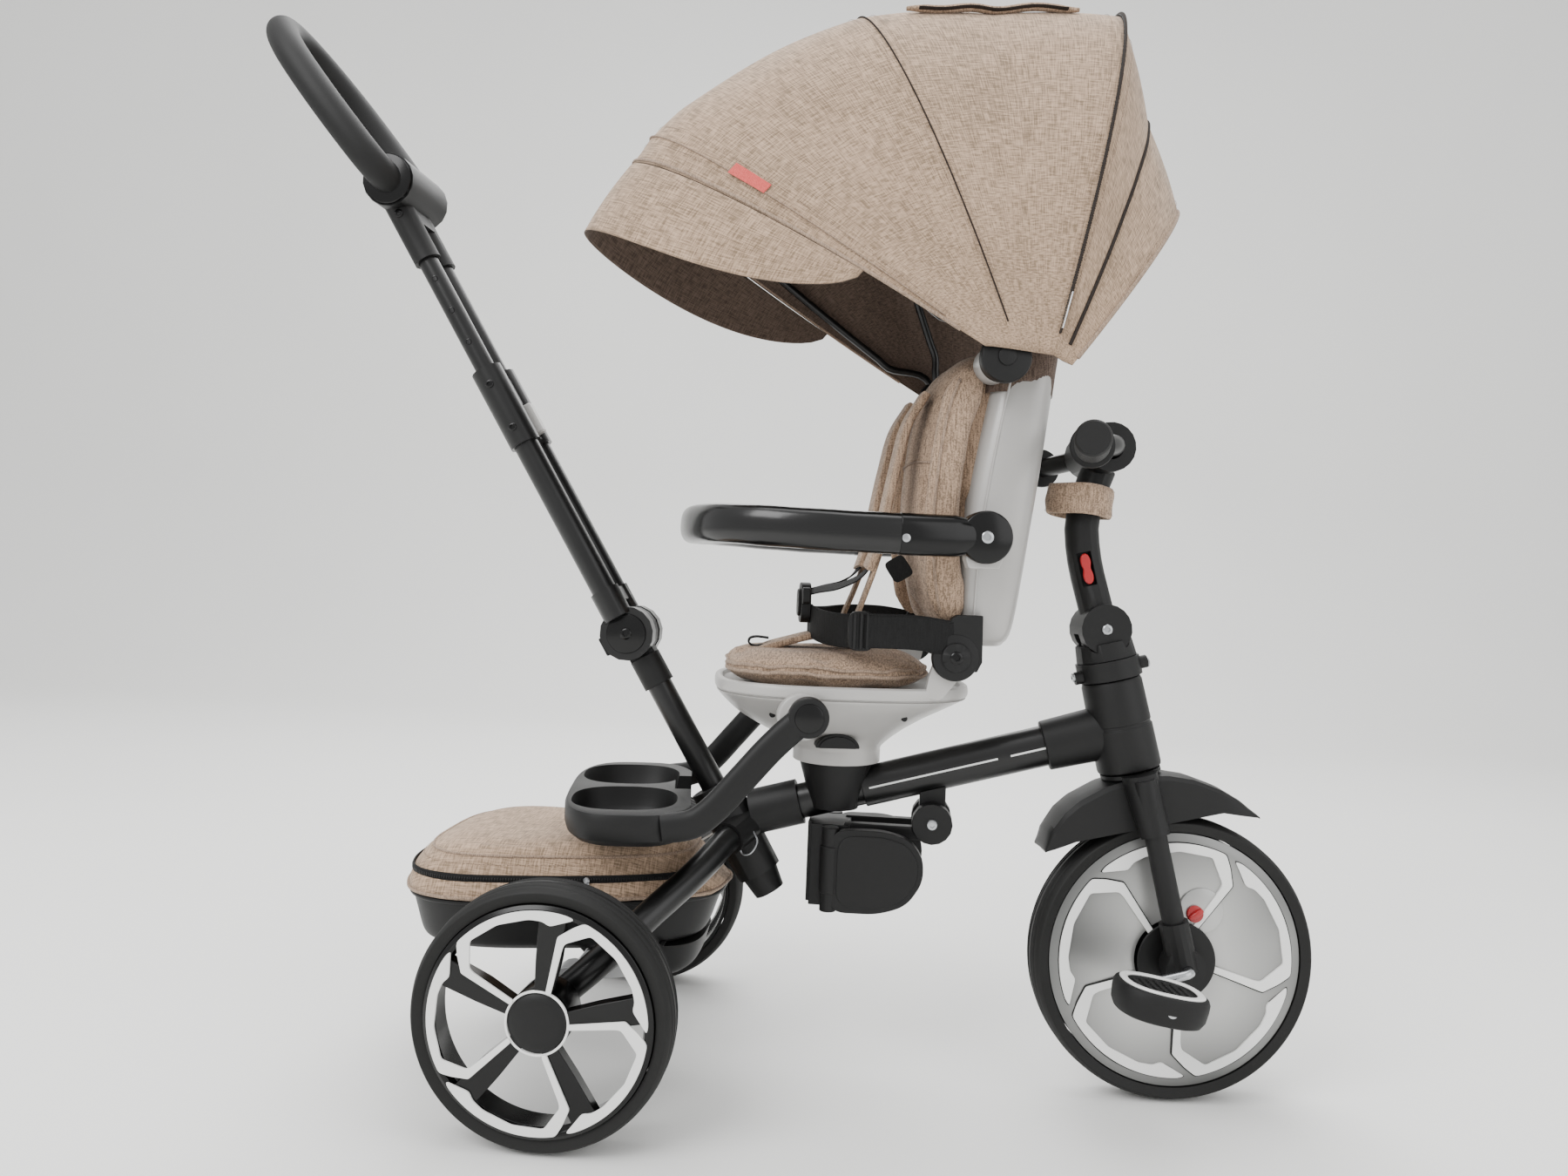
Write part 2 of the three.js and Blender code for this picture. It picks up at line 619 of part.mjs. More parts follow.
function grip(side) {
  const inner = point(1, side * 98, BAR_HEIGHT + 1);
  const outer = point(-25, side * (BAR_HALF_WIDTH + 4), BAR_HEIGHT + 2);
  const sleeve = rod(inner, outer, GRIP_RADIUS);
  const flange = rod(inner, inner.clone().lerp(outer, 0.07), GRIP_RADIUS + 5, GRIP_RADIUS + 5, 20);
  const bend = [62, 110, BAR_HALF_WIDTH];
  const path = [
    point(-24.5, side * (bend[2] + 1), BAR_HEIGHT + 2), point(-4, side * bend[1], BAR_HEIGHT + 1),
    point(34, side * bend[0], BAR_HEIGHT),
  ];
  const room = sweep(path, oval(BAR_RADIUS + 1.8, BAR_RADIUS + 1.8, 10), 8);
  return cut(join(sleeve, flange), room);
}

// A soft strap loops round the stem's neck
function stemStrap() {
  const loop = turned([[31, -17], [34, -17], [36, 0], [34, 17], [31, 17], [33, 0], [31, -17]], 24);
  return loop.rotateX(Math.PI / 2).rotateY(radians(18)).translate(6, 0, 496);
}

function buildSteering() {
  add(steering, 'fork', fork(), black);
  add(steering, 'fender', fender(), black);
  add(steering, 'clamp_ring', clampRing(), black);
  add(steering, 'stem_base', stemBase(), black);
  add(steering, 'stem_arm', stemArm(), black);
  add(steering, 'stem_button', stemButton(), red);
  add(steering, 'handlebar', handlebar(), black);
  add(steering, 'grip_right', grip(-1), rubber);
  add(steering, 'grip_left', grip(1), rubber);
  add(steering, 'stem_strap', stemStrap(), beige);
}

// ---- Front wheel, crank and pedals, in the steering group ----

// Hub, web and barrel of the front wheel in one moulding
function frontHub() {
  const rim = FRONT_RADIUS - TYRE_DEPTH - 2 * GAP;
  const bore = PIN_RADIUS + GAP;
  const half = [
    [42, -26], [42, -23], [23, -23], [23, -2], [rim - 7, -2], [rim - 7, -17], [rim, -17],
  ];
  const upper = half.map(([r, y]) => [r, -y]).reverse();
  return turned([[bore, -26], ...half, ...upper, [bore, 26], [bore, -26]], 32);
}

// A silver cover disc on one side of the front wheel; the right one carries the clutch boss
function frontDisc(side) {
  const rim = FRONT_RADIUS - TYRE_DEPTH - 2 * GAP;
  const cover = turned([
    [24, -15.5], [118, -21.5], [rim, -20.5], [rim, -17.5], [118, -18.5], [24, -12.5], [24, -15.5],
  ], 36);
  if (side > 0) return cover.rotateX(Math.PI);
  return join(cover, disc(38, 45, 24, -21.4, -17));
}

function clutchKnob() {
  return join(disc(30, 44, 9, -26, -21.8), block(20, 40, -26, -23, 40, 48));
}

// The crank is one bent rod: axle, two opposite arms and a pin for each pedal
function crank() {
  const rods = [disc(0, 0, PIN_RADIUS, -CRANK_REACH, CRANK_REACH)];
  for (const side of [-1, 1]) {
    const corner = point(0, side * CRANK_REACH, 0);
    const end = point(side * CRANK_LENGTH, side * CRANK_REACH, 0);
    rods.push(rod(corner, end, PIN_RADIUS, PIN_RADIUS, 12));
    rods.push(rod(end, point(end.x, side * (PEDAL_OFFSET + 38), 0), PIN_RADIUS));
    for (const bend of [corner, end]) {
      rods.push(new THREE.SphereGeometry(PIN_RADIUS + 0.5, 8, 6).translate(bend.x, bend.y, bend.z));
    }
  }
  return join(...rods);
}

function pedal(side) {
  const centre = side * CRANK_LENGTH;
  const body = loft([
    ring(0, -17, 38, 31, 24, 2.3), ring(0, -9, 45, 37, 24, 2.3), ring(0, 10, 46, 38, 24, 2.3),
    ring(0, 15, 43, 35, 24, 2.3),
  ]);
  body.rotateY(radians(24)).translate(centre, side * PEDAL_OFFSET, 0);
  return cut(body, disc(centre, 0, PIN_RADIUS + GAP, side * 60, side * (PEDAL_OFFSET + 38 + GAP)));
}

function buildFrontWheel() {
  add(steering, 'front_tyre', tyre(FRONT_RADIUS), rubber);
  add(steering, 'front_hub', frontHub(), black);
  add(steering, 'front_disc_right', frontDisc(-1), silver);
  add(steering, 'front_disc_left', frontDisc(1), silver);
  add(steering, 'clutch_knob', clutchKnob(), red);
  add(steering, 'crank', crank(), steel);
  add(steering, 'pedal_right', pedal(-1), rubber);
  add(steering, 'pedal_left', pedal(1), rubber);
}

// ---- Seat group: origin under the swivel axis, +X to the front of the seat ----

const seat = new THREE.Group();
seat.position.x = SEAT_X;
seat.rotation.z = radians(SEAT_TURN);
tricycle.add(seat);

function seatShell() {
  const count = 24;
  const bowl = [
    [363, 0, 52, 50, 2], [377, 7, 76, 70, 2.2], [393, 9, 101, 92, 2.4], [406, 5, 120, 107, 2.6],
    [419, 0, SEAT_HALF_LENGTH, SEAT_HALF_WIDTH - 2, 2.8], [SEAT_RIM, 0, SEAT_HALF_LENGTH, SEAT_HALF_WIDTH, 2.8],
  ];
  const collar = [
    ring(0, SWIVEL_TOP + GAP, 48, 48, count), ring(0, 353, 48, 48, count),
  ];
  const outer = bowl.map(([z, x, a, b, square]) => ring(x, z, a, b, count, square));
  const inner = bowl.map(([z, x, a, b, square]) => ring(x, z + 2, a - 5, b - 5, count, square));
  const shell = cut(loft([...collar, ...outer]), loft(inner));
  const ears = [-1, 1].flatMap((side) => {
    const bottom = block(-118, -78, side * 105 - 4.5, side * 105 + 4.5, SEAT_RIM - 20, RECLINE_Z - 4);
    const eye = disc(RECLINE_X, RECLINE_Z, 13, side * 105 - 4.5, side * 105 + 4.5);
    const boss = disc(TRAY_PIVOT_X, TRAY_PIVOT_Z, 19, side * 108 - 16, side * 108 + 16);
    return [bottom, eye, boss];
  });
  const bore = disc(RECLINE_X, RECLINE_Z, 6 + GAP, -130, 130);
  const pocket = block(-10, 26, 40, 90, 361, 381);
  return cut(join(shell, ...ears), bore, pocket);
}

function seatCushion() {
  const base = SEAT_RIM + GAP;
  const steps = [[0, 100, 92], [0.2, 111, 104], [0.55, 116, 109], [0.85, 110, 103], [1, 96, 88]];
  return loft(steps.map(([up, a, b]) => ring(18, base + up * CUSHION_THICKNESS, a, b, 24, 2.8)));
}

function swivelButton() {
  return block(-9, 25, 56, 74, 362, 380);
}

// The U-shaped footrest: two arms, and a tray with two foot cups
function footrestTray() {
  const width = TRAY_HALF_WIDTH;
  const arms = [-1, 1].map((side) => {
    const y = side * (width - 9);
    return slab([
      [36, 386], [58, 372], [86, 344], [126, 310], [152, 284], [200, 278], [200, 306], [160, 312],
      [128, 340], [98, 374], [74, 404], [58, 421], [44, 421], [33, 411], [30, 398],
    ], y - 9, y + 9);
  });
  const plan = (z, back, front, half) => {
    const middle = (back + front) / 2;
    return ring(middle, z, (front - back) / 2, half, 24, 3);
  };
  const body = loft([
    plan(272, 156, TRAY_FRONT - 6, width - 6), plan(280, 150, TRAY_FRONT, width), plan(306, 150, TRAY_FRONT, width),
  ]);
  const cups = [-1, 1].map((side) => loft([
    ring(226, 279, 46, 48, 16, 2.6).map((p) => p.add(point(0, side * 64, 0))),
    ring(226, 307, 54, 58, 16, 2.6).map((p) => p.add(point(0, side * 66, 0))),
  ]));
  const forPole = block(120, 176, -60, 14, 260, 320);
  const inside = block(20, 158, -(width - 18), width - 18, 260, 330);
  return cut(join(body, ...arms), ...cups, forPole, inside);
}

function backrestShell() {
  const rings = [
    [478, -164, -106, 94], [500, -173, -102, 108], [600, -186, -101, BACK_HALF_WIDTH],
    [715, -200, -120, BACK_HALF_WIDTH - 2], [780, -207, -140, 104], [BACK_TOP, -206, -160, 82],
  ];
  const level = (z, back, front, half) => ring((back + front) / 2, z, (front - back) / 2, half, 24, 3.6);
  const outer = loft(rings.map(([z, back, front, half]) => level(z, back, front, half)));
  const middle = (480 + BACK_TOP) / 2;
  const inner = loft(rings.map(([z, back, , half]) => level(middle + (z - middle) * 0.96, back + 5, -60, half - 5)));
  const bosses = [-1, 1].flatMap((side) => [
    disc(CANOPY_X, CANOPY_Z, 19, side * 118 - 18, side * 118 + 18),
    disc(BUMPER_X, BUMPER_Z, 20, side * 122 - 10.5, side * 122 + 10.5),
  ]);
  return join(cut(outer, inner), ...bosses);
}

function backrestCushion() {
  const rings = [
    [488, -158, -92, 84], [505, -166, -80, 98], [600, -178, -66, 104], [700, -191, -70, 102],
    [770, -198, -96, 90], [788, -196, -120, 72],
  ];
  return loft(rings.map(([z, back, front, half]) => {
    return ring((back + front) / 2, z, (front - back) / 2, half, 24, 3);
  }));
}

function reclineBracket() {
  const axle = disc(RECLINE_X, RECLINE_Z, 6, -122, 122);
  const plates = [-1, 1].flatMap((side) => {
    const y = side * 116;
    const outline = [[-128, 458], [-96, 458], [-84, 480], [-98, 510], [-131, 510]];
    return [disc(RECLINE_X, RECLINE_Z, 24, y - 5.5, y + 5.5), slab(outline, y - 5.5, y + 5.5)];
  });
  return join(axle, ...plates);
}

// Waist belt and buckle lie on the cushion
function waistBelt() {
  const half = [point(-66, 116, 490), point(-20, 117, 490), point(20, 96, 488), point(34, 56, 486)];
  const other = half.map((p) => point(p.x, -p.y, p.z)).reverse();
  const band = sweep([...half, point(37, 0, 485), ...other], oval(16, 1.6, 4, 20), 20);
  return join(band, block(28, 46, -20, 20, 466, 504));
}

function bumperBar() {
  const half = [
    point(-112, 148, BUMPER_Z), point(-30, 150, BUMPER_Z + 1), point(60, 146, BUMPER_Z + 3),
    point(124, 118, BUMPER_Z + 4), point(157, 64, BUMPER_Z + 5),
  ];
  const other = half.map((p) => point(p.x, -p.y, p.z)).reverse();
  const front = point(BUMPER_REACH, 0, BUMPER_Z + 5);
  const bar = sweep([...half, front, ...other], oval(20, 14, 12, 2.4), 22);
  const hubs = [-1, 1].map((side) => {
    return disc(BUMPER_X, BUMPER_Z, 26, side * BUMPER_HALF_WIDTH - 13, side * BUMPER_HALF_WIDTH + 12);
  });
  return join(bar, ...hubs);
}

// The canopy fans out from its pivots. Each station gives the fan angle, the foot of its arch,
// and the arch's rise.
const CANOPY_STATIONS = [
  [10, -110, 767, 432], [18, -111, 767, 425], [29.7, -113, 766, 414], [40, -120, 765, 419],
  [68, -141, 761, 410], [86, -156, 759, 404], [104, -172, 757, 419], [112.7, -181, 754, 330],
  [127.6, -190, 752, 254],
];

// A point of the canopy at a fan angle, part of the way across its arch, inset from the cloth
function canopyPoint(fan, across, inset) {
  const last = CANOPY_STATIONS.length - 2;
  let i = 0;
  while (i < last && CANOPY_STATIONS[i + 1][0] < fan) i += 1;
  const [low, high] = [CANOPY_STATIONS[i], CANOPY_STATIONS[i + 1]];
  const share = (fan - low[0]) / (high[0] - low[0]);
  const [x, z, rise] = [1, 2, 3].map((k) => low[k] + share * (high[k] - low[k]));
  const up = (rise - inset) * Math.sin(radians(across));
  const y = (CANOPY_HALF_WIDTH - inset) * Math.cos(radians(across));
  return point(x + up * Math.cos(radians(fan)), y, z + up * Math.sin(radians(fan)));
}

function canopySheet(fans, across) {
  const grid = (inset) => fans.map((fan) => across.map((a) => canopyPoint(fan(a), a, inset)));
  return walledSheet(grid(0), grid(CANOPY_WALL));
}

const steps = (from, to, count) => {
  return Array.from({ length: count + 1 }, (_, i) => from + ((to - from) * i) / count);
};

function canopyFabric() {
  const fans = [29.7, 40, 54, 68, 77, 86, 95, 104, 112.7, 127.6];
  return canopySheet(fans.map((fan) => () => fan), steps(180, 0, 16));
}

function canopyVisor() {
  const lip = (a) => 18 - 7.5 * Math.cos(radians(a)) ** 2;
  const fans = [0, 0.5, 1].map((share) => (a) => lip(a) + share * (29.1 - lip(a)));
  return canopySheet(fans, steps(20, 160, 12).reverse());
}

function canopyHoop(fan, inset, y0, y1) {
  const arch = sweep(steps(0, 180, 14).map((a) => canopyPoint(fan, a, inset)), oval(HOOP_RADIUS, HOOP_RADIUS, 6), 20);
  const eyes = [disc(CANOPY_X, CANOPY_Z, 17, y0, y1), disc(CANOPY_X, CANOPY_Z, 17, -y1, -y0)];
  return join(arch, ...eyes);
}

function buildSeat() {
  add(seat, 'seat_shell', seatShell(), silver);
  add(seat, 'seat_cushion', seatCushion(), beige);
  add(seat, 'swivel_button', swivelButton(), black);
  add(seat, 'footrest_tray', footrestTray(), black);
  add(seat, 'backrest_shell', backrestShell(), silver);
  add(seat, 'backrest_cushion', backrestCushion(), beige);
  add(seat, 'recline_bracket', reclineBracket(), black);
  add(seat, 'waist_belt', waistBelt(), webbing);
  add(seat, 'bumper_bar', bumperBar(), gloss);
  add(seat, 'canopy_fabric', canopyFabric(), beige);
  add(seat, 'canopy_visor', canopyVisor(), lining);
  add(seat, 'canopy_hoop_front', canopyHoop(34, HOOP_DEPTH, 150, 162), black);
  add(seat, 'canopy_hoop_mid', canopyHoop(68, 2 * HOOP_DEPTH + 4, 138, 149), black);
}

// ---- Push handle: drawn along the pole, +Z up the pole ----

const pushHandle = new THREE.Group();
pushHandle.position.set(POLE_X, 0, POLE_Z);
pushHandle.rotation.y = -radians(POLE_LEAN);
tricycle.add(pushHandle);

const bothSides = (make) => [-1, 1].map((side) => make(side * TWIN_HALF_SPACING));

function pole() {
  const tube = post(0, 0, POLE_BOTTOM + GAP, 227, POLE_RADIUS);
  return cut(tube, post(0, 0, 0, 222, POLE_RADIUS - 2));
}

function poleJoint() {
  const sleeve = post(0, 0, 196, 231, 17.5);
  const neck = block(-15, 15, -10, 10, 230, POLE_JOINT);
  const body = join(sleeve, neck, disc(0, POLE_JOINT, 29, -10, 10));
  const bore = post(0, 0, 190, 227 + GAP, POLE_RADIUS + GAP);
  return cut(body, bore, block(-40, -21, -8.5, 8.5, 250, 274));
}

function outerTubes() {
  const cheeks = [-1, 1].map((side) => disc(0, POLE_JOINT, 30, side * 18.5 - 8, side * 18.5 + 8));
  const bridge = block(-13, 13, -26, 26, 298, 314);
  const sleeves = bothSides((y) => post(0, y, 282, 316, 16.5));
  const tubes = bothSides((y) => post(0, y, 300, COLLAR_BOTTOM + 5, OUTER_TUBE_RADIUS));
  const collars = bothSides((y) => post(0, y, COLLAR_BOTTOM, COLLAR_TOP, 17.5));
  const web = block(-12, 12, -18, 18, COLLAR_BOTTOM + 4, COLLAR_TOP - 14);
  const bores = bothSides((y) => post(0, y, 318, 620, INNER_TUBE_RADIUS + GAP));
  const room = block(-20, 20, -10 - GAP, 10 + GAP, 270, 297.5);
  const leverPocket = block(4, 30, -7.5, 7.5, 505.5, 549);
  const body = join(bridge, ...cheeks, ...sleeves, ...tubes, ...collars, web);
  return cut(body, room, ...bores, leverPocket);
}

function innerTubes() {
  const tubes = bothSides((y) => post(0, y, 470, 772, INNER_TUBE_RADIUS));
  return join(...tubes, block(-5, 5, -20, 20, 760, 771));
}

function handleYoke() {
  const sleeves = bothSides((y) => post(0, y, YOKE_BOTTOM, RING_AXIS - 8, 15));
  const housing = disc(RING_AXIS_FORWARD, RING_AXIS, 29, -48, 48);
  const web = block(-10, 14, -20, 20, 775, 815);
  const sockets = bothSides((y) => post(0, y, YOKE_BOTTOM - 10, 772 + GAP, INNER_TUBE_RADIUS + GAP));
  const plug = block(-5 - GAP, 5 + GAP, -21, 21, YOKE_BOTTOM - 5, 771 + GAP);
  const bore = disc(RING_AXIS_FORWARD, RING_AXIS, RING_TUBE_RADIUS + 4.5, -60, 60);
  return cut(join(...sleeves, housing, web), ...sockets, plug, bore);
}

function handleRing() {
  const outline = [
    [0, 0], [24, 0], [48, 1], [70, 24], [RING_HALF_WIDTH, 92], [68, 162], [38, 210], [0, RING_LENGTH],
  ];
  const left = outline.slice(1, -1).map(([y, up]) => [-y, up]).reverse();
  const lean8 = radians(RING_LEAN);
  const path = [...outline, ...left].map(([y, up]) => {
    return point(RING_AXIS_FORWARD - up * Math.sin(lean8), y, RING_AXIS + up * Math.cos(lean8));
  });
  const loop = new THREE.CatmullRomCurve3(path, true, 'catmullrom', 0.5);
  return geometryOf(solid(new THREE.TubeGeometry(loop, 30, RING_TUBE_RADIUS, 12, true)));
}

function buildPushHandle() {
  add(pushHandle, 'pole', pole(), paint);
  add(pushHandle, 'pole_joint', poleJoint(), black);
  add(pushHandle, 'pole_button', block(-36, -25.5, -8, 8, 251, 273), black);
  add(pushHandle, 'outer_tubes', outerTubes(), paint);
  add(pushHandle, 'telescope_lever', block(5, 22, -7, 7, 508, 544), silver);
  add(pushHandle, 'inner_tubes', innerTubes(), paint);
  add(pushHandle, 'handle_yoke', handleYoke(), black);
  add(pushHandle, 'handle_ring', handleRing(), rubber);
}

buildFrame();
buildStep();
buildRear();
buildSteering();
buildFrontWheel();
buildSeat();
buildPushHandle();

// The origin lies on the ground under the middle of the whole tricycle
tricycle.updateMatrixWorld(true);
const bounds = new THREE.Box3().setFromObject(tricycle, true);
const middle = bounds.getCenter(new THREE.Vector3());
tricycle.position.set(-middle.x, -middle.y, -bounds.min.z);

export default tricycle;
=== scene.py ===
# Children's tricycle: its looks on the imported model. Lengths are in millimetres until a piece is placed.
import json
import math

import bmesh
import bpy
import numpy as np
from mathutils import Matrix, Vector
from mathutils.bvhtree import BVHTree


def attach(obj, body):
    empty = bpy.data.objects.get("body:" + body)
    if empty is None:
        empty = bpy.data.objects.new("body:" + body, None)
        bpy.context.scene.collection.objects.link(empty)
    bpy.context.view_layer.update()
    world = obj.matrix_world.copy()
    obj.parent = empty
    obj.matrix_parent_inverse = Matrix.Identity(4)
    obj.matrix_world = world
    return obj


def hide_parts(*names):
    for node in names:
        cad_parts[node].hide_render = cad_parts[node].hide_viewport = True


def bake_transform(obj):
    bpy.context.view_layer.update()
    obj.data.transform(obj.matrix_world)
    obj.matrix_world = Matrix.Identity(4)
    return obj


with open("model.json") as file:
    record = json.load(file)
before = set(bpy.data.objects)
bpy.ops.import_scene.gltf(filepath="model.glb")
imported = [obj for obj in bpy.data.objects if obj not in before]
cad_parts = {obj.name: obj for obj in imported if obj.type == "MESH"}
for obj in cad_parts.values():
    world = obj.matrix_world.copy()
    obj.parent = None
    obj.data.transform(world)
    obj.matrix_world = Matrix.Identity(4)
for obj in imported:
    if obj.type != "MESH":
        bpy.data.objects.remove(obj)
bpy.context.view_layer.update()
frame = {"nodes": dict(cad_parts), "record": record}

# ---- Main beam, rear legs and axle ----
# The frame is oval and round steel tube in satin black powder paint, with a thin white pinstripe masked on
# each tube. Powder paint has a slight orange peel, so its highlights are soft and a little uneven.

record = frame["record"]
hinges = {j["name"]: j for j in record["behaviour"]["joints"]}
both_sides = ((-1, "right"), (1, "left"))


def turned_place(origin, x, y, z):
    """A 4 x 4 place for points in millimetres: its origin in metres, and its three directions."""
    place = np.eye(4)
    place[:3, :3] = np.array([x, y, z], float).T / 1000
    place[:3, 3] = origin
    return place


front_axle = np.array(hinges["front_wheel_spin"]["pos_m"])
ground = turned_place((front_axle[0], 0, 0), (1, 0, 0), (0, 1, 0), (0, 0, 1))


def linear(hex_colour):
    levels = [int(hex_colour[i:i + 2], 16) / 255 for i in (1, 3, 5)]
    return [v / 12.92 if v <= 0.04045 else ((v + 0.055) / 1.055) ** 2.4 for v in levels] + [1.0]


def shader_node(tree, kind, links=None, **settings):
    """A new node. Each setting is a property of it, or else an input named with _ for a space."""
    made = tree.nodes.new(kind)
    for key, value in settings.items():
        if hasattr(made, key):
            setattr(made, key, value)
        else:
            made.inputs[key.replace("_", " ")].default_value = value
    for key, source in (links or {}).items():
        tree.links.new(source, made.inputs[key])
    return made


def finish_of(name, roughness, metallic=0.0, colour="#808080", **sockets):
    made = bpy.data.materials.new(name)
    made.use_nodes = True
    tree = made.node_tree
    surface = tree.nodes["Principled BSDF"]
    surface.inputs["Base Color"].default_value = linear(colour)
    surface.inputs["Roughness"].default_value = roughness
    surface.inputs["Metallic"].default_value = metallic
    for key, value in sockets.items():
        surface.inputs[key.replace("_", " ")].default_value = value
    made.diffuse_color = linear(colour)
    return made, tree, surface


def tone_between(tree, factor, first, second):
    """A mix of two hex colours. The node's colour sockets are factor 0, colours 6 and 7, and result 2."""
    mix = shader_node(tree, "ShaderNodeMix", data_type="RGBA")
    tree.links.new(factor, mix.inputs[0])
    mix.inputs[6].default_value, mix.inputs[7].default_value = linear(first), linear(second)
    return mix.outputs[2]


DEEP_BLACK = 0.02


def grained(name, colours, roughness, grain_mm, bump, metallic=0.0, rough_range=0.08, patch_mm=60, **sockets):
    """A solid-coloured finish with a fine grain, slow patches of tone and an uneven gloss."""
    made, tree, surface = finish_of(name, roughness, metallic, colours[0], **sockets)
    at = shader_node(tree, "ShaderNodeTexCoord").outputs["Object"]
    if not metallic and linear(colours[0])[0] < DEEP_BLACK:
        surface.inputs["Specular IOR Level"].default_value = 0.3
    grain = shader_node(tree, "ShaderNodeTexNoise", {"Vector": at}, Scale=1000 / grain_mm, Detail=3.0)
    patch = shader_node(tree, "ShaderNodeTexNoise", {"Vector": at}, Scale=1000 / patch_mm, Detail=4.0)
    tree.links.new(tone_between(tree, patch.outputs["Fac"], *colours), surface.inputs["Base Color"])
    spread = shader_node(tree, "ShaderNodeMapRange", {"Value": patch.outputs["Fac"]})
    spread.inputs["To Min"].default_value = roughness - rough_range
    spread.inputs["To Max"].default_value = roughness + rough_range
    tree.links.new(spread.outputs["Result"], surface.inputs["Roughness"])
    relief = shader_node(tree, "ShaderNodeBump", {"Height": grain.outputs["Fac"]}, Strength=bump,
                         Distance=0.0004)
    tree.links.new(relief.outputs["Normal"], surface.inputs["Normal"])
    return made


def smooth_by_angle(mesh, degrees=35):
    mesh.shade_smooth()
    mesh.set_sharp_from_angle(angle=math.radians(degrees))


def piece(name, shape, place, material, body, replaces=(), bevel=0.0, subdivide=0, sharp=35, wall=0.0):
    """A named piece from points and faces, put in its place, and tied to its body."""
    points, faces = shape[0], shape[1]
    points = np.asarray(points, float)
    placed = points @ place[:3, :3].T + place[:3, 3]
    mesh = bpy.data.meshes.new(name)
    mesh.from_pydata(placed.tolist(), [], faces)
    if len(shape) > 2:
        layer = mesh.uv_layers.new(name="cloth")
        loops = np.zeros(len(mesh.loops), dtype=int)
        mesh.loops.foreach_get("vertex_index", loops)
        layer.data.foreach_set("uv", np.asarray(shape[2], float)[loops].ravel())
    mesh.validate()
    smooth_by_angle(mesh, sharp)
    made = bpy.data.objects.new(name, mesh)
    bpy.context.scene.collection.objects.link(made)
    mesh.materials.append(material)
    if wall:
        thick = made.modifiers.new("wall", "SOLIDIFY")
        thick.thickness = wall / 1000
        thick.offset = -1
    if bevel:
        edge = made.modifiers.new("edge", "BEVEL")
        edge.width = bevel / 1000
        edge.segments = 3
        edge.limit_method = "ANGLE"
        edge.angle_limit = math.radians(32)
        edge.harden_normals = True
    if subdivide:
        finer = made.modifiers.new("finer", "SUBSURF")
        finer.levels = subdivide
        finer.render_levels = subdivide
    if body:
        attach(made, body)
    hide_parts(*replaces)
    return made


def oval(half_x, half_y, count=32, squareness=2.0, start=0.0, turn=2 * math.pi):
    full = abs(turn - 2 * math.pi) < 1e-6
    t = start + turn * (np.arange(count) + (0.5 if full else 0)) / (count if full else count - 1)
    c, s = np.cos(t), np.sin(t)
    return np.stack([half_x * np.sign(c) * np.abs(c) ** (2 / squareness),
                     half_y * np.sign(s) * np.abs(s) ** (2 / squareness)], 1)


def smooth_path(points, count, closed=False):
    """Evenly spaced points on a Catmull-Rom curve."""
    p = np.asarray(points, float)
    n = len(p)
    out = []
    spans = n if closed else n - 1
    for i in range(spans):
        if closed:
            a, b, c, d = p[(i - 1) % n], p[i], p[(i + 1) % n], p[(i + 2) % n]
        else:
            a = p[i - 1] if i else 2 * p[0] - p[1]
            b, c = p[i], p[i + 1]
            d = p[i + 2] if i + 2 < n else 2 * p[-1] - p[-2]
        for t in np.linspace(0, 1, 24, endpoint=False):
            out.append(0.5 * (2 * b + (c - a) * t + (2 * a - 5 * b + 4 * c - d) * t * t
                              + (3 * b - a - 3 * c + d) * t ** 3))
    out.append(p[0] if closed else p[-1])
    out = np.array(out)
    far = np.concatenate([[0], np.cumsum(np.linalg.norm(np.diff(out, axis=0), axis=1))])
    want = np.linspace(0, far[-1], count + 1)
    even = np.stack([np.interp(want, far, out[:, k]) for k in range(3)], 1)
    return even[:-1] if closed else even


def frames_along(path, closed=False, up=None):
    """Side and up vectors along a path that don't twist."""
    path = np.asarray(path, float)
    if closed:
        along = np.roll(path, -1, 0) - np.roll(path, 1, 0)
    else:
        along = np.gradient(path, axis=0)
    along /= np.linalg.norm(along, axis=1, keepdims=True)
    if up is None:
        up = np.eye(3)[np.argmin(np.abs(along[0]))]
    ups = []
    for t in along:
        up = up - t * np.dot(up, t)
        up = up / np.linalg.norm(up)
        ups.append(up)
    ups = np.array(ups)
    return along, np.cross(ups, along), ups


def swept(path, outline, scale=None, closed=False, up=None):
    """An outline carried along a path. outline is one [side, up] list, or one for each point."""
    path = np.asarray(path, float)
    along, sides, ups = frames_along(path, closed, up)
    outline = np.asarray(outline, float)
    shapes = outline if outline.ndim == 3 else np.repeat(outline[None], len(path), 0)
    if scale is not None:
        shapes = shapes * np.asarray(scale, float)[:, None, None]
    n, m = len(path), shapes.shape[1]
    points = path[:, None] + sides[:, None] * shapes[:, :, :1] + ups[:, None] * shapes[:, :, 1:]
    points = points.reshape(-1, 3).tolist()
    faces = []
    for i in range(n if closed else n - 1):
        k = (i + 1) % n
        for j in range(m):
            l = (j + 1) % m
            faces.append((i * m + j, i * m + l, k * m + l, k * m + j))
    if not closed:
        faces.append(tuple(range(m))[::-1])
        faces.append(tuple((n - 1) * m + j for j in range(m)))
    return points, faces


def combined(*shapes):
    """Several shapes as one."""
    points, faces = [], []
    for shape in shapes:
        base = len(points)
        points.extend([list(p) for p in shape[0]])
        faces.extend([tuple(i + base for i in f) for f in shape[1]])
    return points, faces


def tube(path, radius, sides=32, up=None):
    return swept(path, oval(radius, radius, sides), up=up)


def line(start, end, count=2):
    return np.linspace(start, end, count)


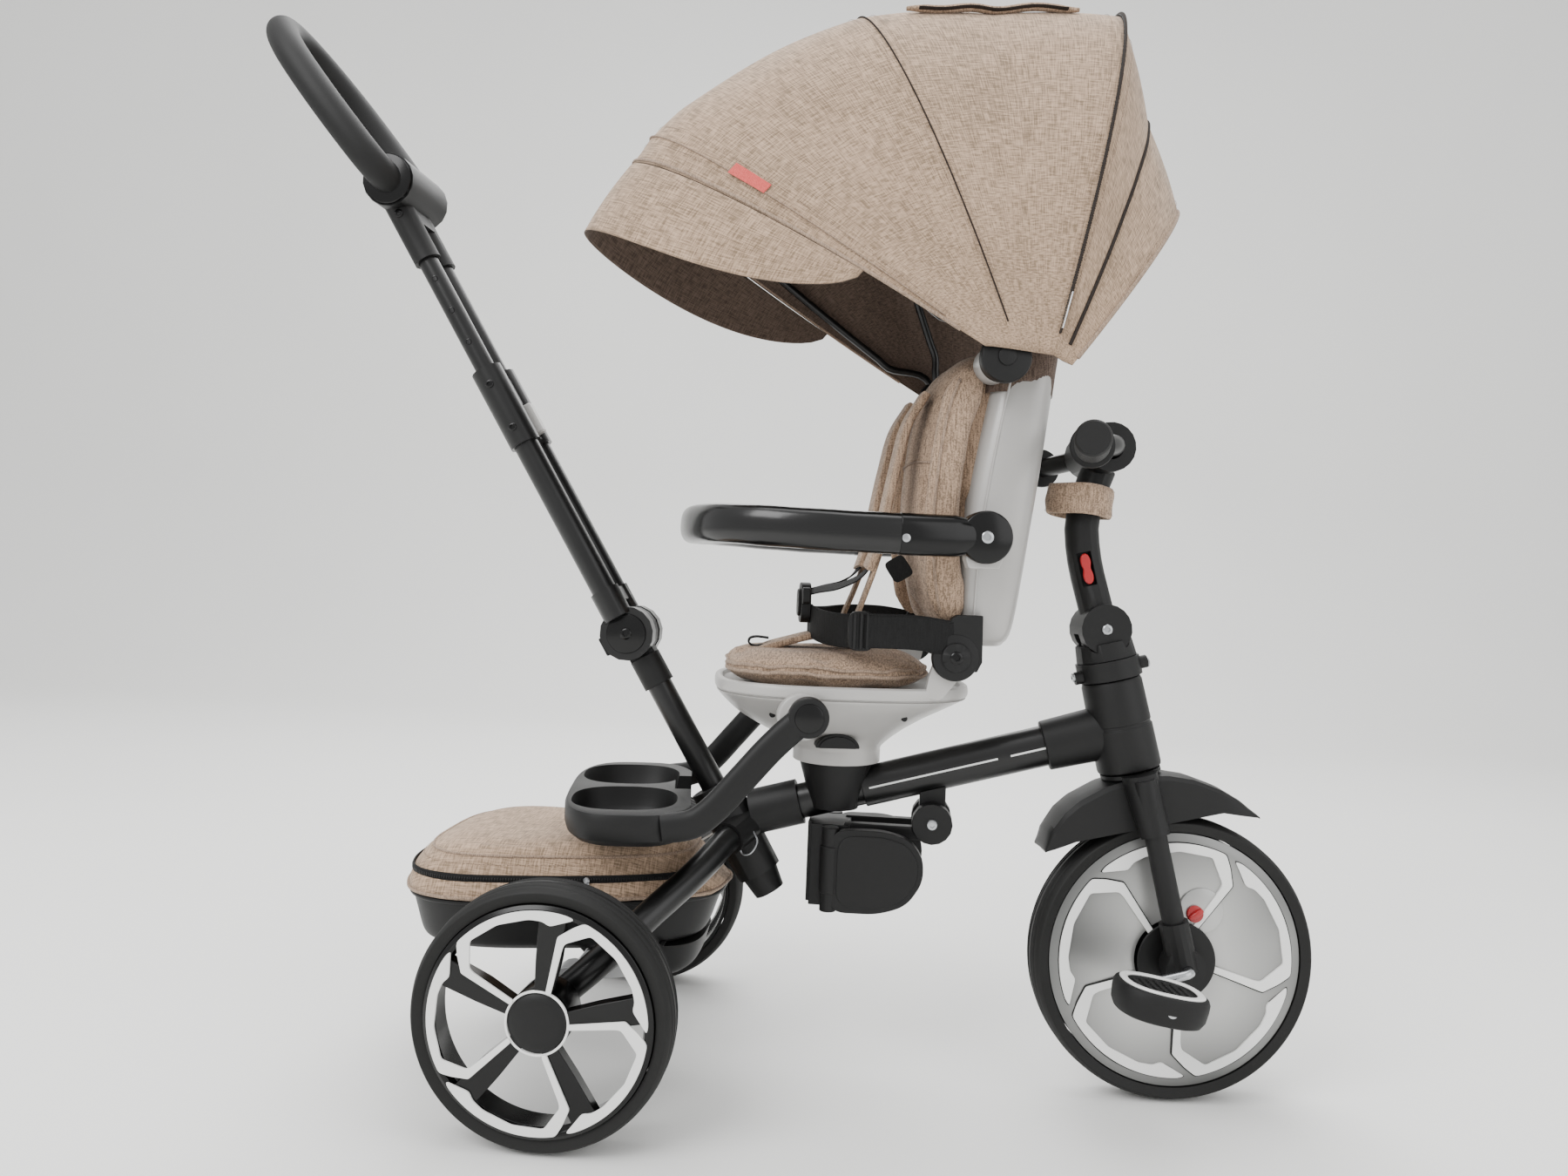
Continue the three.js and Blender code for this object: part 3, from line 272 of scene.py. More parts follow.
# Powder paint: a soft, slightly uneven gloss over deep black.
powder_black = grained("satin_black_powder_paint", ("#080808", "#0c0c0c"), 0.34, 1.4, 0.10,
                       Coat_Weight=0.25, Coat_Roughness=0.25)
# Masked paint: a thin flat white with little gloss.
pinstripe_white = grained("white_pinstripe_paint", ("#d9dad8", "#e4e5e3"), 0.4, 1.2, 0.08)

beam_front, beam_pitch = np.array([-117.5, 0, 374]), math.radians(16.1)
beam_dir = np.array([-math.cos(beam_pitch), 0, -math.sin(beam_pitch)])
beam_up = np.array([-math.sin(beam_pitch), 0, math.cos(beam_pitch)])


def beam_path(start, end, count=2):
    return [beam_front + beam_dir * s for s in np.linspace(start, end, count)]


thick = swept(beam_path(0, 226), oval(17, 22, 48), up=beam_up)
thin = swept(beam_path(220, 322), oval(14.5, 19.5, 48), up=beam_up)
piece("beam_tube", combined(thick, thin), ground, powder_black, "frame", ["main_beam"], bevel=1.0)

stripes = []
for side in (-1, 1):
    for start, end in ((18, 62), (76, 218)):
        middle = math.pi if side > 0 else 0
        arc = oval(17.15, 22.15, 6, start=middle - 0.045, turn=0.09)
        inner = oval(16.8, 21.8, 6, start=middle - 0.045, turn=0.09)[::-1]
        stripes.append(swept(beam_path(start, end, 3), np.concatenate([arc, inner]), up=beam_up))

for side, name in both_sides:
    bends = [(-472, side * 30, 260), (-500, side * 84, 230), (-540, side * 140, 196), (-578, side * 172, 160),
             (-617, side * 180, 125)]
    path = smooth_path(bends, 40)
    start = np.array([-475.6, side * 37.6, 254.2])
    path = np.concatenate([[start], path[np.linalg.norm(path - path[0], axis=1) > 14]])
    leg = tube(path, 14.5, 36)
    eye = swept(line((-617, side * 169, 125), (-617, side * 191, 125)), oval(17, 17, 40))
    piece(f"leg_tube_{name}", combined(leg, eye), ground, powder_black, "frame",
          [f"rear_leg_{name}"], bevel=0.8)
    along = frames_along(path, up=np.array([0, 0, 1.0]))[0]
    first, last = 6, 34
    off_side = np.cross(along, [0, 0, 1.0])
    off_side = off_side / np.linalg.norm(off_side, axis=1, keepdims=True) * -side
    lifted = path + off_side * 14.6
    stripes.append(swept(lifted[first:last], oval(0.35, 1.3, 8), up=np.cross(off_side[first], along[first])))
piece("pinstripes", combined(*stripes), ground, pinstripe_white, "frame")
axle_rod = swept(line((-617, -247.5, 125), (-617, 247.5, 125)), oval(8, 8, 32))
piece("axle_rod", axle_rod, ground, powder_black, "frame", ["rear_axle"], bevel=0.8)

# ---- Head lug, swivel cup, rear lug and folding step ----
# Glass-filled nylon mouldings, bolted over the tubes. The tools leave a fine spark-eroded grain and rounded
# edges, so the black looks soft grey where light rakes it.

# Glass-filled nylon: soft grey edges on black, from the fine spark grain.
moulded_black = grained("spark_eroded_black_nylon", ("#0b0b0b", "#111111"), 0.5, 0.9, 0.22, rough_range=0.06)
# Zinc plate: a cool bright metal with a slightly brushed gloss.
satin_steel = grained("zinc_plated_steel", ("#b9bbbd", "#a3a5a8"), 0.28, 0.8, 0.06, metallic=1.0)


def carried(node, material, bevel=0.8):
    """A CAD piece with its triangles merged back into faces, and its edges rounded as a mould leaves them."""
    source = frame["nodes"][node]
    work = bmesh.new()
    work.from_mesh(source.data)
    bmesh.ops.remove_doubles(work, verts=work.verts, dist=2e-5)
    bmesh.ops.dissolve_limit(work, angle_limit=math.radians(2.5), verts=work.verts, edges=work.edges)
    mesh = bpy.data.meshes.new(node + "_finished")
    work.to_mesh(mesh)
    work.free()
    smooth_by_angle(mesh, 33)
    made = bpy.data.objects.new(node + "_finished", mesh)
    bpy.context.scene.collection.objects.link(made)
    mesh.materials.clear()
    mesh.materials.append(material)
    if bevel:
        edge = made.modifiers.new("edge", "BEVEL")
        edge.width = bevel / 1000
        edge.segments = 2
        edge.limit_method = "ANGLE"
        edge.angle_limit = math.radians(34)
        edge.harden_normals = True
    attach(made, next(b for b, names in record["behaviour"]["bodies"].items() if node in names))
    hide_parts(node)
    return made


def lathed(profile, sides=96, centre=(0, 0, 0), axis="y"):
    """A profile of [radius, along] points turned about y or z. It is closed if it ends where it starts."""
    profile = np.asarray(profile, float)
    closed = np.allclose(profile[0], profile[-1])
    if closed:
        profile = profile[:-1]
    n = len(profile)
    t = 2 * np.pi * np.arange(sides) / sides
    points = []
    for a in t:
        for r, h in profile:
            points.append((r * math.cos(a), h, r * math.sin(a)) if axis == "y"
                          else (r * math.cos(a), r * math.sin(a), h))
    faces = []
    for i in range(sides):
        k = (i + 1) % sides
        for j in range(n if closed else n - 1):
            l = (j + 1) % n
            quad = (i * n + j, i * n + l, k * n + l, k * n + j)
            faces.append(quad if axis == "y" else quad[::-1])
    points = np.array(points) + np.array(centre)
    return outward((points.tolist(), faces))


def outward(shape):
    """The same shape, merged, with its faces turned to point outwards."""
    mesh = bpy.data.meshes.new("turning")
    mesh.from_pydata([list(p) for p in shape[0]], [], [list(f) for f in shape[1]])
    work = bmesh.new()
    work.from_mesh(mesh)
    bmesh.ops.remove_doubles(work, verts=work.verts, dist=1e-4)
    bmesh.ops.recalc_face_normals(work, faces=work.faces)
    points = [tuple(v.co) for v in work.verts]
    work.verts.index_update()
    faces = [tuple(v.index for v in f.verts) for f in work.faces]
    work.free()
    bpy.data.meshes.remove(mesh)
    return points, faces


def rounded_disc(radius, low, high, edge=1.5, centre=(0, 0, 0), sides=48):
    """A disc about a sideways axis, from low to high on it, with its rims eased."""
    step = edge * 0.3
    profile = [[0.0, low], [radius - edge, low], [radius - step, low + step], [radius, low + edge],
               [radius, high - edge], [radius - step, high - step], [radius - edge, high], [0.0, high]]
    return lathed(profile, sides, centre)


def side_disc(side, radius, near, far, edge, x, z, sides=48):
    """A rounded disc on one side of the object, from near to far off its middle plane."""
    low, high = sorted((side * near, side * far))
    return rounded_disc(radius, low, high, edge, (x, 0, z), sides)


def hex_bolt(centre, axis_dir, radius=6.5, height=4.0):
    """A domed screw head with a hexagon socket."""
    axis_dir = np.asarray(axis_dir, float)
    axis_dir = axis_dir / np.linalg.norm(axis_dir)
    side = np.cross(axis_dir, [0.3, 0.2, 1.0])
    side /= np.linalg.norm(side)
    other = np.cross(axis_dir, side)
    rings = [(radius, 0), (radius, height * 0.45), (radius * 0.85, height * 0.85), (radius * 0.6, height)]
    rings += [(radius * 0.5, height), (radius * 0.5, height * 0.35), (0.01, height * 0.35)]
    points, faces, n = [], [], 24
    for k, (r, h) in enumerate(rings):
        for i in range(n):
            a = 2 * math.pi * i / n
            reach = r
            if k >= 4:
                reach = r * math.cos(math.pi / 6) / math.cos((a % (math.pi / 3)) - math.pi / 6)
            points.append(np.asarray(centre) + side * reach * math.cos(a) + other * reach * math.sin(a)
                          + axis_dir * h)
    for k in range(len(rings) - 1):
        for i in range(n):
            j = (i + 1) % n
            faces.append((k * n + i, k * n + j, (k + 1) * n + j, (k + 1) * n + i))
    return outward((points, faces))


def plate(outline, low, high, place_at):
    """A flat plate from a [u, v] outline, low to high, with place_at(u, v, height) giving each point."""
    n = len(outline)
    points = [place_at(u, v, low) for u, v in outline] + [place_at(u, v, high) for u, v in outline]
    faces = [tuple(range(n))[::-1], tuple(range(n, 2 * n))]
    faces += [(i, (i + 1) % n, n + (i + 1) % n, n + i) for i in range(n)]
    return outward((points, faces))


def upright(u, v, height):
    """Stands a plate in the plane of the wheels."""
    return (u, height, v)


def rounded_outline(corners, radius, steps=3):
    """The same outline with each corner rounded, as a cutter or a mould leaves it."""
    rough = np.asarray(corners, float)
    out = []
    for i, b in enumerate(rough):
        a, c = rough[i - 1], rough[(i + 1) % len(rough)]
        la, lc = np.linalg.norm(a - b), np.linalg.norm(c - b)
        cut = min(radius, la * 0.45, lc * 0.45)
        p, q = b + (a - b) / la * cut, b + (c - b) / lc * cut
        out += [(1 - t) ** 2 * p + 2 * t * (1 - t) * b + t * t * q for t in np.linspace(0, 1, steps)]
    return out


def polar_outline(corners, unit, turn):
    """A rounded outline from [radius, degrees] corners."""
    flat = [(r * unit * math.cos(math.radians(a + turn)), r * unit * math.sin(math.radians(a + turn)))
            for r, a in corners]
    return rounded_outline(flat, 3.0)


steer_y, steer_z = np.array(hinges["front_wheel_spin"]["axis"]), np.array(hinges["steer"]["axis"])
steering = turned_place(front_axle, np.cross(steer_y, steer_z), steer_y, steer_z)
head = turned_place(front_axle, np.cross((0, 1, 0), steer_z), (0, 1, 0), steer_z)
lug_barrel = lathed([[15, 203.6], [30, 203.6], [33.2, 205], [33.8, 208], [33.2, 250], [31.9, 251],
                     [31.9, 254],
                     [32.8, 255], [32, 298], [30.5, 302], [28, 303], [15, 303], [15, 203.6]], 96, axis="z")
lug_socket = outward(swept(beam_path(-40, 24, 3), oval(23, 28, 64), scale=[1.04, 1.0, 0.96], up=beam_up))
piece("head_lug_barrel", lug_barrel, head, moulded_black, "frame", bevel=0.6)
piece("head_lug_socket", lug_socket, ground, moulded_black, "frame", ["head_lug"], bevel=2.0)
for node in ("swivel_base", "rear_lug", "step_hanger", "step_arm"):
    carried(node, moulded_black, 1.2)
step_outline = [(-366, 184), (-312, 185), (-282, 196), (-266, 222), (-266, 246), (-280, 266), (-308, 274),
                (-366, 273)]
for side, name in both_sides:
    y = side * 42
    layers = []
    grip_layer = sorted((y + side * 5.5, y + side * 7.2))
    for inset, low, high in ((0.0, y - 6, y + 4.5 if side > 0 else y + 6), (7.0, *grip_layer)):
        middle = np.mean(step_outline, axis=0)
        inner = [tuple(middle + (np.array(q) - middle) * (1 - inset / 50)) for q in step_outline]
        layers.append(plate(rounded_outline(inner, 20, 8), low, high, upright))
    barrel = outward(swept(line((-366, side * 40, 184), (-366, side * 40, 274)), oval(9, 9, 32)))
    nose = outward(swept(line((-366, side * 40, 204), (-366, side * 40, 254), 4), oval(10.4, 10.4, 32)))
    piece(f"step_plate_{name}_rounded", combined(*layers, barrel, nose), ground, moulded_black,
          f"step_plate_{name}",
          [f"step_plate_{name}"], bevel=1.8)
bolts = [hex_bolt((-258, s * 28, 280), (0, s, 0), 6.0, 3.0) for s in (-1, 1)]
piece("step_pivot_bolts", combined(*bolts), ground, satin_steel, "step_arm")
clip_path = smooth_path([(-452, -24, 262), (-446, -28, 250), (-452, -30, 238), (-462, -28, 236),
                         (-466, -26, 248)], 24)
piece("socket_spring_clip", tube(clip_path, 1.1, 10), ground, satin_steel, "frame")

# ---- Wheels ----
# Foamed EVA tyres with moulded ribs, on glossy ABS rims. A white ABS ornament of five hooked spokes snaps
# into each rim, and the front wheel has silver cover discs with the same ornament. EVA is matt and shows
# pale rubbed ribs.

# Foamed EVA: matt charcoal with paler rubbed patches.
eva_tyre = grained("foamed_eva_tyre", ("#0f0f0e", "#171716"), 0.6, 2.2, 0.35, rough_range=0.1, patch_mm=25)
# Polished-mould ABS: a sharp wet highlight on black.
gloss_abs = grained("glossy_black_abs", ("#050505", "#090909"), 0.2, 3.0, 0.03, rough_range=0.04)
# White ABS: bright, even and half gloss, so the hooked spokes stand out.
white_abs = grained("white_abs", ("#e9e9e7", "#dededc"), 0.34, 2.4, 0.05)
# ABS with metal flake: a dull silver glow rather than a mirror.
silver_abs = grained("silver_metallic_abs", ("#b9babb", "#c6c7c7"), 0.36, 0.5, 0.10, metallic=0.35,
                     rough_range=0.05)

# Lacquered silver with a painted reflection: lighter round the hub and darker towards the rim, with soft cloudy
# patches of tone.
reflection_silver, tree, surface = finish_of("silver_cover_painted_reflection", 0.3, 0.55, "#8f908f")
at = shader_node(tree, "ShaderNodeTexCoord").outputs["Object"]
hub_spot = shader_node(tree, "ShaderNodeMapping", {"Vector": at}, vector_type="POINT")
hub_spot.inputs["Location"].default_value = tuple(-front_axle)
# Painted reflection: a ball of tone round the front axle, lightest at the hub and darkest at the cover's rim.
ball = shader_node(tree, "ShaderNodeTexGradient", {"Vector": hub_spot.outputs["Vector"]},
                   gradient_type="SPHERICAL")
hub_reflection = shader_node(tree, "ShaderNodeMapRange", {"Value": ball.outputs["Fac"]}, From_Min=0.86,
                       From_Max=0.96)
cloudy = shader_node(tree, "ShaderNodeTexNoise", {"Vector": hub_spot.outputs["Vector"]}, Scale=7.0,
                     Detail=1.0)
both = shader_node(tree, "ShaderNodeMath", {0: hub_reflection.outputs["Result"], 1: cloudy.outputs["Fac"]},
                   operation="ADD")
shade = shader_node(tree, "ShaderNodeMapRange", {"Value": both.outputs["Value"]}, From_Min=0.35,
                    From_Max=1.25)
tree.links.new(tone_between(tree, shade.outputs["Result"], "#565756", "#b2b2b0"),
               surface.inputs["Base Color"])


def tyre_shape(radius, width=47.0, depth=15.0):
    half, bead = width / 2, radius - depth
    profile = [(bead, -half + 3)]
    for s in np.linspace(0, 1, 9)[1:]:
        a = s * math.pi / 2
        profile.append((bead + 9 * math.sin(a), -half + 3 - 3 * math.sin(a)))
    profile += [(radius - 5, -half + 0.6), (radius - 4.2, -half + 1.6), (radius - 4.8, -half + 2.6),
                (radius - 2.2, -half + 5.4)]
    for groove in (-13, -4.5, 4.5, 13):
        crown = radius - 2.0 * (groove / 17) ** 2
        profile += [(crown, groove - 2.4), (crown - 1.6, groove - 1.2), (crown - 1.6, groove + 1.2),
                    (crown, groove + 2.4)]
    profile += [(radius - 2.2, half - 5.4), (radius - 4.8, half - 2.6), (radius - 4.2, half - 1.6),
                (radius - 5, half - 0.6)]
    for s in np.linspace(1, 0, 9)[:-1]:
        a = s * math.pi / 2
        profile.append((bead + 9 * math.sin(a), half - 3 + 3 * math.sin(a)))
    profile += [(bead, half - 3), (bead, -half + 3)]
    return lathed(profile, 144)


def moved(shape, offset):
    return (np.asarray(shape[0], float) + np.asarray(offset, float)).tolist(), shape[1]


def mirrored_y(shape):
    points = np.asarray(shape[0], float) * (1, -1, 1)
    return points.tolist(), [tuple(reversed(f)) for f in shape[1]]


def on_side(shape, side):
    """A shape drawn for the right side, or its mirror image for the left."""
    return shape if side < 0 else mirrored_y(shape)


def rim_arc(radius, start, end, count=12):
    return [(radius, a) for a in np.linspace(start, end, count)]


# One hooked spoke of the ornament as [radius, degrees] in a rim of 524, scaled to each wheel
hook = [(148, 65), (145, 75), (403, 78), (419, 78), (480, 71)] + rim_arc(524, 66, 3, 14)
REAR_HOOK, FRONT_HOOK = 0.1993, 0.2365
hook += [(517, -0.6), (457, 12), (476, 16.5), (483, 24), (487, 42), (487, 60), (399, 72), (372, 72.5)]

for side, name in both_sides:
    hub = np.array([-617, side * 225.5, 125])
    body = f"rear_wheel_{name}"
    piece(f"rear_tyre_{name}_ribbed", moved(tyre_shape(125), hub), ground, eva_tyre, body,
          [f"rear_tyre_{name}"], sharp=50)
    ring = lathed([[98, -17], [101, -24.6], [104.5, -25.6], [109.3, -23], [109.3, 22], [105, 22],
                   [102.5, -14],
                   [98, -17]], 128)
    hub_drum = lathed([[8.5, -20], [29, -20.5], [30.5, -18], [30, 19], [27, 20], [8.5, 20], [8.5, -20]], 64)
    spokes = []
    for k in range(5):
        turn = 72 * k + 72
        arm = [(20, 60), (20, 100), (60, 93), (102, 90.5), (102, 76), (60, 71)]
        spokes.append(plate(polar_outline(arm, 1.0, turn), -24.0, -10.5,
                            upright))
    shape = on_side(combined(ring, hub_drum, *spokes), side)
    piece(f"rear_rim_{name}_spoked", moved(shape, hub), ground, gloss_abs, body,
          [f"rear_rim_{name}"], bevel=1.0)
    hooks = [plate(polar_outline(hook, REAR_HOOK, 72 * k), -26.6, -24.3, upright) for k in range(5)]
    piece(f"rear_ornament_{name}", moved(on_side(combined(*hooks), side), hub), ground, white_abs, body,
          bevel=0.5)
    cap = lathed([[0.01, -27.2], [10, -27.1], [20, -26.2], [26.5, -24.2], [28.2, -22.4], [28.2, -20.6],
                  [0.01, -20.6]], 72)
    band = lathed([[28.4, -24.6], [30.6, -24.6], [30.6, -22.4], [28.4, -22.4], [28.4, -24.6]], 72)
    piece(f"rear_hub_cap_{name}_domed", moved(on_side(cap, side), hub), ground, moulded_black, body,
          [f"rear_hub_cap_{name}"])
    piece(f"rear_hub_ring_{name}", moved(on_side(band, side), hub), ground, white_abs, body,
          bevel=0.3)
    carried(f"brake_pedal_{name}", silver_abs, 1.2)

# The front wheel turns between the fork legs. The clutch knob joins it to the cranks.
piece("front_tyre_ribbed", tyre_shape(150), steering, eva_tyre, "front_wheel", ["front_tyre"],
      sharp=50)
web = lathed([[6, -22], [24, -22], [24, -3], [124, -3], [124, -16], [134, -16.5], [134, 16.5], [124, 16],
              [124, 3], [24, 3], [24, 22], [6, 22], [6, -22]], 96)
flange = lathed([[6, -23], [24, -23], [41, -23.4], [42, -24.4], [41.2, -26], [26, -26.4], [22, -25.4],
                 [8, -25.6],
                 [6, -23]], 72)
piece("front_hub_core", combined(web, flange, mirrored_y(flange)), steering, moulded_black, "front_wheel",
      ["front_hub"], bevel=0.6)
for side, name in both_sides:
    cover = lathed([[42.6, -17.2], [46, -17.6], [60, -18.7], [92, -20.4], [112, -20.9], [118, -21.6],
                    [128, -21.3],
                    [133.6, -19.4], [133.8, -17.2], [118, -18.2], [60, -15.6], [42.6, -14.6], [42.6, -17.2]],
                   144)
    if side < 0:
        cover = combined(cover, rounded_disc(24, -21.6, -17, 1.2, (38, 0, 45), 56))
    piece(f"front_cover_{name}", on_side(cover, side), steering, reflection_silver, "front_wheel",
          [f"front_disc_{name}"])
    hooks, trims = [], []
    for k in range(5):
        outline = polar_outline([(r, -a) for r, a in reversed(hook)], FRONT_HOOK, 72 * k + 262)
        hooks.append(plate(outline, -23.2, -19.2, upright))
        centre = np.mean(outline, axis=0)
        wide = [(c := np.asarray(q)) + (c - centre) / np.linalg.norm(c - centre) * 1.3 for q in outline]
        trims.append(plate(wide, -22.0, -19.4, upright))
    piece(f"front_ornament_{name}", on_side(combined(*hooks), side), steering, white_abs, "front_wheel",
          bevel=0.5)
    piece(f"front_ornament_shadow_line_{name}", on_side(combined(*trims), side), steering, moulded_black,
          "front_wheel")

# ABS coloured through: a saturated red with a soft clear skin.
red_abs = grained("satin_red_abs", ("#a81218", "#970f14"), 0.32, 1.8, 0.05, Coat_Weight=0.2,
                  Coat_Roughness=0.2)
knob = combined(rounded_disc(9, -25.6, -21.9, 1.0, (30, 0, 44), 40),
                outward(swept(line((22, -27.4, 41), (38, -27.4, 47), 6), oval(3.4, 2.6, 20, 2.6),
                              scale=[0.55, 0.9, 1, 1, 0.9, 0.55], up=(0, 1, 0))))
piece("clutch_knob_winged", knob, steering, red_abs, "clutch_knob", ["clutch_knob"], bevel=0.3)

# ---- Crank and pedals ----
# The crank is one cold-bent steel rod, zinc plated. Each pedal is a rubbery polypropylene block with a
# white ring pressed into its tread and a toothed middle for grip.

# Soft-touch polypropylene: rubbery, almost no highlight.
pedal_rubber = grained("soft_touch_polypropylene", ("#0d0d0d", "#141414"), 0.62, 1.1, 0.3)
crank_path = []
for side in (-1, 1):
    crank_path.append([(side * 50, side * 149, 0), (side * 50, side * 74, 0), (side * 49, side * 69, 0),
                       (side * 45, side * 66.4, 0), (side * 6, side * 66.2, 0), (side * 2, side * 64, 0),
                       (side * 0.2, side * 59, 0), (0, 0, 0)])
bent = crank_path[0] + crank_path[1][::-1][1:]
piece("crank_rod", tube(smooth_path(bent, 120), 5, 24), steering, satin_steel, "crank", ["crank"])


def lofted(rings, caps=True):
    """A skin over rings of the same number of points."""
    n, m = len(rings), len(rings[0])
    points = [tuple(p) for ring in rings for p in ring]
    faces = [(i * m + j, i * m + (j + 1) % m, (i + 1) * m + (j + 1) % m, (i + 1) * m + j)
             for i in range(n - 1) for j in range(m)]
    if caps:
        faces += [tuple(range(m))[::-1], tuple((n - 1) * m + j for j in range(m))]
    return points, faces


pedal_tilt = math.radians(24)
for side, name in both_sides:
    centre = np.array([side * 50, side * 112, 0])

    def on_pedal(u, v, h):
        return centre + (u * math.cos(pedal_tilt) + h * math.sin(pedal_tilt), v,
                         -u * math.sin(pedal_tilt) + h * math.cos(pedal_tilt))

    def pedal_ring(half_x, half_y, h, squareness=2.5, count=64):
        return [on_pedal(u, v, h) for u, v in oval(half_x, half_y, count, squareness)]

    body = lofted([pedal_ring(36, 29, -16.5), pedal_ring(41, 33.5, -14.5), pedal_ring(44.5, 36.4, -8),
                   pedal_ring(45.6, 37.6, 2), pedal_ring(45.6, 37.6, 9), pedal_ring(44, 36, 12.4),
                   pedal_ring(41.5, 33.6, 13.4), pedal_ring(32.5, 25, 13.4), pedal_ring(31, 23.5, 11.6)])
    teeth = []
    for i in range(-3, 4):
        length = 20 * math.sqrt(1 - (i / 4.3) ** 2)
        path = [on_pedal(i * 8, v, 11.8) for v in np.linspace(-length, length, 12)]
        heights = [0.35 + 0.65 * (k % 2) for k in range(12)]
        teeth.append(outward(swept(path, oval(2.6, 2.6, 8), scale=heights)))
    boss = outward(swept(line((side * 50, side * 74.2, 0), (side * 50, side * 84, 0), 3), oval(11, 11, 36)))
    piece(f"pedal_{name}_tread", combined(body, boss, *teeth), steering, pedal_rubber, f"pedal_{name}",
          [f"pedal_{name}"], bevel=0.5)
    ring_low = [pedal_ring(40.5, 32.6, 12.6), pedal_ring(40.8, 33, 14.2), pedal_ring(39.6, 31.8, 15.1),
                pedal_ring(34.4, 26.8, 15.1), pedal_ring(33.2, 25.6, 14.2), pedal_ring(33.4, 25.8, 12.6)]
    piece(f"pedal_{name}_white_ring", outward(lofted(ring_low, caps=False)), steering, white_abs,
          f"pedal_{name}")

# ---- Fork, fender, stem and handlebar ----
# The fork and fender are black nylon mouldings. The stem is a two-part nylon casting with a fold hinge, a
# silver hinge screw and a red release button, and a soft sleeve of the seat's cloth round its neck.

for node in ("fork", "clamp_ring", "stem_base", "stem_arm"):
    carried(node, moulded_black, 1.4)
fender_top = np.array([(-112, 144), (-104, 160), (-84, 178), (-67, 187), (-34, 196), (0, 198), (31, 194),
                       (58, 184),
                       (84, 168), (104, 150), (119, 131)], float)
fender_rings = []
for x in np.concatenate([[-112, -110, -107, -103], np.linspace(-98, 104, 44), [109, 113, 116.5, 119]]):
    z = np.interp(x, fender_top[:, 0], fender_top[:, 1]) + 1.6 * math.cos(x / 75)
    low = max(np.interp(x, [-112, -80, 80, 119], [141, 146, 143, 128.5]),
              math.sqrt(max(0, 152.0 ** 2 - x * x)) * 0.5 + 66)
    low = min(low, z - 3.5)
    half = 29 - 5 * max(0, (abs(x - 3) - 85) / 30) ** 2
    deep = z - low
    ring = [(-half - 0.3, low), (-half, low + deep * 0.5), (-half + 0.8, z - min(7, deep * 0.4)),
            (-half + 4.5, z - min(2.4, deep * 0.2)), (-half * 0.45, z - 0.5), (0, z)]
    ring += [(-y, h) for y, h in reversed(ring[:-1])]
    inner = [(y * (half - 2.4) / half, min(h - 2.4 if h > low + 0.1 else h, z - 2.4)) for y,
             h in reversed(ring)]
    inner = [(y, max(h, low)) for y, h in inner]
    fender_rings.append([(x, y, h) for y, h in ring + inner])
piece("fender_arched", outward(lofted(fender_rings)), steering, moulded_black, "fork",
      ["fender"],
      bevel=0.5, sharp=45)
screws = [hex_bolt((0, s * 25, 357), (0, s, 0), 5.6, 2.4) for s in (-1, 1)]
screws += [hex_bolt((s * 40, -6, 312.5), (s, 0, 0), 5.2, 2.6) for s in (-1, 1)]
piece("stem_hinge_screws", combined(*screws[:2]), steering, satin_steel, "stem")
piece("clamp_bolts", combined(*screws[2:]), steering, satin_steel, "fork")
button_face = []
for k, z in enumerate(np.linspace(407.6, 440.4, 20)):
    waist = 1 - 0.28 * math.exp(-((z - 424) / 4.5) ** 2)
    end = min(1, math.sqrt(max(0.02, 1 - ((z - 424) / 16.6) ** 4)))
    button_face.append((z, 5.6 * waist * end))
rim_of = [(-6 - w, z) for z, w in button_face] + [(-6 + w, z) for z, w in reversed(button_face)]
button = outward(lofted([[(x, -16.5, z) for x, z in rim_of], [(x, -18.9, z) for x, z in rim_of],
                         [(-6 + (x + 6) * 0.8, -19.9, 424 + (z - 424) * 0.94) for x, z in rim_of]]))
piece("stem_release_button", button, steering, red_abs, "stem_button", ["stem_button"],
      bevel=0.4)

bar_points = [(-24, -185, 546), (-4, -110, 545), (34, -62, 544), (38, -30, 544), (38, 30, 544), (34, 62, 544),
              (-4, 110, 545), (-24, 185, 546)]
bar_path = smooth_path(bar_points, 90)
piece("bar_tube", tube(bar_path, 11, 32), steering, powder_black, "stem", ["handlebar"])
# Thermoplastic rubber: dull, fine-grained black.
grip_rubber = grained("thermoplastic_rubber_grip", ("#0e0e0e", "#151515"), 0.62, 0.9, 0.35)
for side, name in both_sides:
    inner_end, outer_end = np.array([1, side * 98, 545.0]), np.array([-25, side * 189, 546.0])
    steps = np.linspace(0, 1, 120)
    path = inner_end + (outer_end - inner_end) * steps[:, None]
    radius = []
    for s in steps:
        length = s * 94.6
        if length < 6.5:
            r = 22.3 - 0.25 * (length - 3.2) ** 2 * 0.3
        elif length > 88:
            r = 17.5 - 0.22 * (length - 88) ** 1.6 * 0.5
        else:
            ridge = abs(math.sin(math.pi * (length - 6.5) / 5.1))
            r = 16.4 + 1.1 * ridge ** 0.5
        radius.append(r)
    sleeve = outward(swept(path, oval(1, 1, 48), scale=radius))
    piece(f"grip_{name}_ribbed", sleeve, steering, grip_rubber, "stem", [f"grip_{name}"], sharp=60)

# ---- Fabrics and padding ----
# The covers are a beige melange polyester in a linen-look plain weave, over soft foam. Slubs run both ways,
# about 0.6 mm apart, and are drawn at about 1.5 mm so that they show. The foam is pressed out by a cloth
# simulation.


CLOUD_SHARE = 0.25


